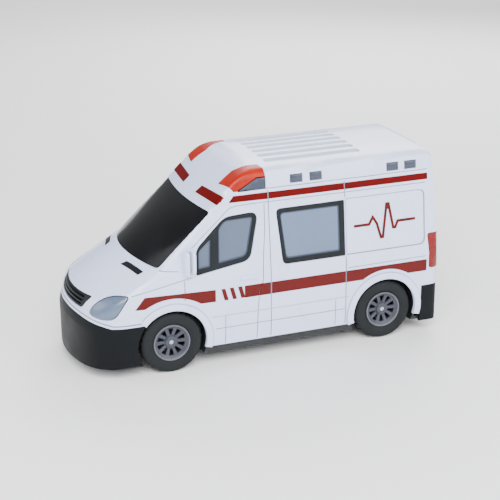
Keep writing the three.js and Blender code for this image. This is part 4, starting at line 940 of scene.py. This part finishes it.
# Stripes on the flanks, as x and z
ROOF_LOW, ROOF_HIGH, WAIST_LOW, WAIST_HIGH = 118.0, 122.7, 49.5, 58.2
SLASH, SLASHES, SLASH_PITCH = np.array(((35.5, 58.3), (32.5, 58.3), (30.1, 49.6), (33.1, 49.6))), 3, 6.2
FRONT_CLEAR, REAR_CLEAR = arc(72, 19, 37.5, 0, 354, 72), arc(-91.7, 22.4, 32.6, 0, 354, 72)
ROOF_STRIPES = (
    ("front", ((23.6, 122.8), (27.2, 118.4), (-1.6, ROOF_LOW), (-1.6, ROOF_HIGH))),
    ("middle", ((-2.4, ROOF_HIGH), (-2.4, ROOF_LOW), (-59.7, ROOF_LOW), (-59.7, ROOF_HIGH))),
    ("rear", ((-60.5, ROOF_HIGH), (-60.5, ROOF_LOW), (-126, ROOF_LOW), (-126, ROOF_HIGH))),
)
WAIST_NOSE = ((98, 51.8), (91, 60.1), (39.6, 58.4), (39.6, 49.6), (51, 49.8), (90.5, 51.4))
WAIST_STRIPES = (
    ("door", ((18, 58.3), (18, 49.4), (7.4, 49.4), (7.1, 53.2), (6.2, 55.5), (4.8, 57.5), (4.7, 58.3)), ()),
    ("post", ((4.4, 58.3), (4.5, 57.4), (5.8, 55.3), (6.7, 53.1), (7.0, 49.4), (-1.6, 49.4), (-1.6, 58.2)), ()),
    ("cabin", bar(-59.7, -2.4, WAIST_LOW, WAIST_HIGH), ()),
    ("tail", bar(-125, -60.5, WAIST_LOW, WAIST_HIGH), (REAR_CLEAR,)),
)
HEARTBEAT = ((-67, 90), (-79, 90), (-82, 95), (-85.2, 90), (-88.2, 79.5), (-89.8, 79.5), (-93.1, 103.5),
             (-94.7, 103.5), (-98.2, 85.5), (-99.8, 85.5), (-101.8, 90), (-116, 90))
FOREHEAD_BAR = ((34.9, 13.5, 122.7), (30.2, 45.7, 122.2), (35.6, 45.9, 117.4), (40, 13, 118.3))


class VAN_OT_stickers(bpy.types.Operator):
    """Red stripes, forehead bars and heartbeat line"""

    bl_idname = "van.stickers"
    bl_label = "Stickers"

    def execute(self, context):
        stand = context.scene.van_sizes.sticker_stand

        def print_on(name, outline, look, finish, holes=(), cell=5.0):
            sheet = plate(name, np.array(outline, float), look, stand, -0.3, holes, cell)
            place_piece(sheet, finish)

        for name, side in SIDES:
            look = flank(side)
            for part, loop in ROOF_STRIPES:
                print_on(f"roof_stripe_{part}_{name}", loop, look, "upper_print")
            print_on(f"waist_nose_{name}", WAIST_NOSE, look, "waist_print", [FRONT_CLEAR])
            for i in range(SLASHES):
                slash = SLASH - (SLASH_PITCH * i, 0)
                print_on(f"waist_slash_{i}_{name}", slash, look, "waist_print")
            for part, loop, holes in WAIST_STRIPES:
                print_on(f"waist_{part}_{name}", loop, look, "waist_print", holes)
            pulse = plate(f"heartbeat_{name}", ribbon(HEARTBEAT, 1.9), look, -0.35, -0.8)
            place_piece(pulse, "waist_print")
            brow = seen(on_side(FOREHEAD_BAR, side), BROW)
            print_on(f"forehead_bar_{name}", brow, BROW, "upper_print", cell=1.2)
        return {"FINISHED"}


def spoke_look(turn):
    """Right, up and out of a cutter that lies along a wheel's spoke."""
    return (math.cos(turn), 0, math.sin(turn)), (-math.sin(turn), 0, math.cos(turn)), LEFT


class VAN_OT_wheels(bpy.types.Operator):
    """Tyres with tread, spoked rims and their bright lips"""

    bl_idname = "van.wheels"
    bl_label = "Wheels"

    def execute(self, context):
        sizes = context.scene.van_sizes
        half, bore = TYRE_WIDTH / 2, RIM_RADIUS + GAP / 2
        tread, floor, bead = WHEEL_RADIUS, WHEEL_RADIUS - 0.9, RIM_RADIUS + 2.4
        section = path(
            (bore, -half + 1.2), (bead, -half), (tread - 4, -half),
            (tread - 0.2, -half + 0.2, tread, -half + 3.6), (tread, -2.6), (floor, -2.4), (floor, -1.6),
            (tread, -1.4), (tread, 1.4), (floor, 1.6), (floor, 2.4), (tread, 2.6), (tread, half - 3.6),
            (tread - 0.2, half - 0.2, tread - 4, half), (bead, half), (bore, half - 1.2))
        tyre = spun("tyre", section, 90)
        cuts = []
        for i in range(sizes.tread_blocks):
            turn = 2 * math.pi * i / sizes.tread_blocks
            for low, high in ((-half - 1, -3.0), (3.0, half + 1)):
                cut = extruded("sipe", bar(tread - 1.0, tread + 2, -0.55, 0.55), low, high)
                cuts.append(turn_to(cut, *spoke_look(turn)))
        combine(tyre, join(cuts), "DIFFERENCE")
        soften(tyre, 0, angle=30)

        face, rim, hole = half - 1, RIM_RADIUS, 1.65
        dish = spun("rim", [
            (hole, -2), (4, face - 4.4), (rim - 1.8, face - 3.2), (rim - 1.8, -face), (rim, -face),
            (rim, face - 0.2), (rim - 1.5, face - 0.9), (rim - 2.6, face - 1.6), (4.6, face - 2.4),
            (4.2, face - 1.2), (3.2, face - 0.9), (hole, face - 0.9)], 80)
        slots = []
        for i in range(sizes.spokes):
            turn = (i + 0.5) * 2 * math.pi / sizes.spokes
            outline = rounded([(5.2, 0.6, 0.3), (10.2, 1.9, 0.8), (10.2, -1.9, 0.8), (5.2, -0.6, 0.3)])
            slots.append(turn_to(extruded("slot", outline, 0, 20), *spoke_look(turn)))
        combine(dish, join(slots), "DIFFERENCE")
        soften(dish, 0.15, 2, 45)
        lip = spun("lip", rounded([(rim - 1.4, face - 0.7, 0.3), (rim - 0.1, face - 0.1, 0.3),
                                   (rim - 0.1, face + 0.7, 0.3), (rim - 1.0, face + 0.5, 0.3)]), 80)
        soften(lip, 0)

        for end, x in AXLES:
            for name, side in SIDES:
                for master, stem, finish, slot, node in (
                    (tyre, "tyre_tread", "tyre_compound", "tyre_rubber", f"tyre_{end}_{name}"),
                    (dish, "rim_dish", "rim_paint", "rim_grey", f"rim_{end}_{name}"),
                    (lip, "rim_lip", "rim_lip", "rim_grey", None),
                ):
                    piece = twin(master, f"{stem}_{end}_{name}")
                    turned = places(piece) * (side, side, 1)
                    put(piece, turned + np.array((x, side * WHEEL_Y, AXLE_Z)) * MM)
                    place_piece(piece, finish, node, f"{end}_wheels")
        for master in (tyre, dish, lip):
            bpy.data.objects.remove(master)
        return {"FINISHED"}


class VAN_OT_drive(bpy.types.Operator):
    """Finishes of the tray, drive turret, gears, cells and other solids that keep their shape"""

    bl_idname = "van.drive"
    bl_label = "Tray and drive"

    def execute(self, context):
        slots = {part["node"]: part["material_slot"] for part in frame["record"]["subparts"]}
        for name, node in frame["nodes"].items():
            paint(node, NODE_FINISH.get(name) or SLOT_FINISH[slots[name]])
        return {"FINISHED"}


class VAN_OT_stage(bpy.types.Operator):
    """Floor, soft light and camera"""

    bl_idname = "van.stage"
    bl_label = "Stage"

    def execute(self, context):
        stage = context.scene.van_stage
        floor = added("studio_floor", bpy.ops.mesh.primitive_plane_add, size=8)
        tone = tuple(stage.floor)
        paper = finish_material("floor_paper", tone, rough=0.8, mottle=0.004, grain=0.02, patch_scale=3.0)
        floor.data.materials.append(paper)

        turn, rise, roll = (math.radians(v) for v in (stage.turn, stage.rise, stage.roll))
        back = Vector((math.sin(turn) * math.cos(rise), -math.cos(turn) * math.cos(rise), math.sin(rise)))
        right = Vector((math.cos(turn), math.sin(turn), 0))
        up = back.cross(right)
        across = right * math.cos(roll) + up * math.sin(roll)
        upright = up * math.cos(roll) - right * math.sin(roll)
        centre, away, left, above = Vector((-7, 0, 63)) * MM, 1.0, 0.94 * MM, 1.0 * MM
        place = centre + back * away - across * left + upright * above
        camera = added("photo_camera", bpy.ops.object.camera_add)
        turned = Matrix((across, upright, back)).transposed().to_4x4()
        camera.matrix_world = Matrix.Translation(place) @ turned
        camera.data.sensor_width = 36
        camera.data.lens = stage.lens
        context.scene.camera = camera

        middle, far = (0, 0, 0.06), (-0.7, -1.9, 0)
        for name, spot, target, size, power, tint in (
            ("key_softbox", (0.38, 0.84, 0.86), middle, 0.8, stage.key, (1.0, 0.99, 0.97)),
            ("fill_softbox", (-0.55, 0.95, 0.60), middle, 0.9, stage.key * 0.5, (0.93, 0.96, 1.0)),
            ("nose_softbox", (0.95, -0.25, 0.5), middle, 0.7, stage.key * 0.2, (0.92, 0.95, 1.0)),
            ("rear_softbox", (-0.6, -0.8, 0.7), middle, 0.9, stage.key * 0.45, (1.0, 1.0, 1.0)),
            ("floor_softbox", (-0.7, -1.9, 1.3), far, 1.6, stage.key * 1.1, (1.0, 1.0, 1.0)),
        ):
            lamp = added(name, bpy.ops.object.light_add, type="AREA", location=spot)
            lamp.data.size = size
            lamp.data.energy = power
            lamp.data.color = tint
            aim = Vector(target) - Vector(spot)
            lamp.rotation_euler = aim.to_track_quat("-Z", "Y").to_euler()

        world = bpy.data.worlds.new("studio")
        context.scene.world = world
        world.use_nodes = True
        sky = world.node_tree.nodes["Background"]
        sky.inputs["Color"].default_value = (0.96, 0.97, 1.0, 1)
        sky.inputs["Strength"].default_value = 0.36
        return {"FINISHED"}


BUILD = (VAN_OT_drive, VAN_OT_shell, VAN_OT_glazing, VAN_OT_lamps, VAN_OT_trim, VAN_OT_stickers,
         VAN_OT_wheels, VAN_OT_stage)


class VAN_PT_sidebar(bpy.types.Panel):
    """Lists the van's pieces and their settings"""

    bl_idname = "VAN_PT_sidebar"
    bl_label = "Toy ambulance van"
    bl_space_type = "VIEW_3D"
    bl_region_type = "UI"
    bl_category = "Van"

    def draw(self, context):
        for group in (context.scene.van_sizes, context.scene.van_colours, context.scene.van_stage):
            box = self.layout.box()
            for name in group.bl_rna.properties.keys():
                if name not in ("rna_type", "name"):
                    box.prop(group, name)
        for step in BUILD:
            self.layout.operator(step.bl_idname)


CLASSES = (VanSizes, VanColours, VanStage, *BUILD, VAN_PT_sidebar)


def register():
    for item in CLASSES:
        bpy.utils.register_class(item)
    bpy.types.Scene.van_sizes = PointerProperty(type=VanSizes)
    bpy.types.Scene.van_colours = PointerProperty(type=VanColours)
    bpy.types.Scene.van_stage = PointerProperty(type=VanStage)


def unregister():
    del bpy.types.Scene.van_stage
    del bpy.types.Scene.van_colours
    del bpy.types.Scene.van_sizes
    for item in reversed(CLASSES):
        bpy.utils.unregister_class(item)


def main():
    register()
    bpy.ops.van.drive()
    bpy.ops.van.shell()
    bpy.ops.van.glazing()
    bpy.ops.van.lamps()
    bpy.ops.van.trim()
    bpy.ops.van.stickers()
    bpy.ops.van.wheels()
    bpy.ops.van.stage()


if __name__ == "__main__":
    main()
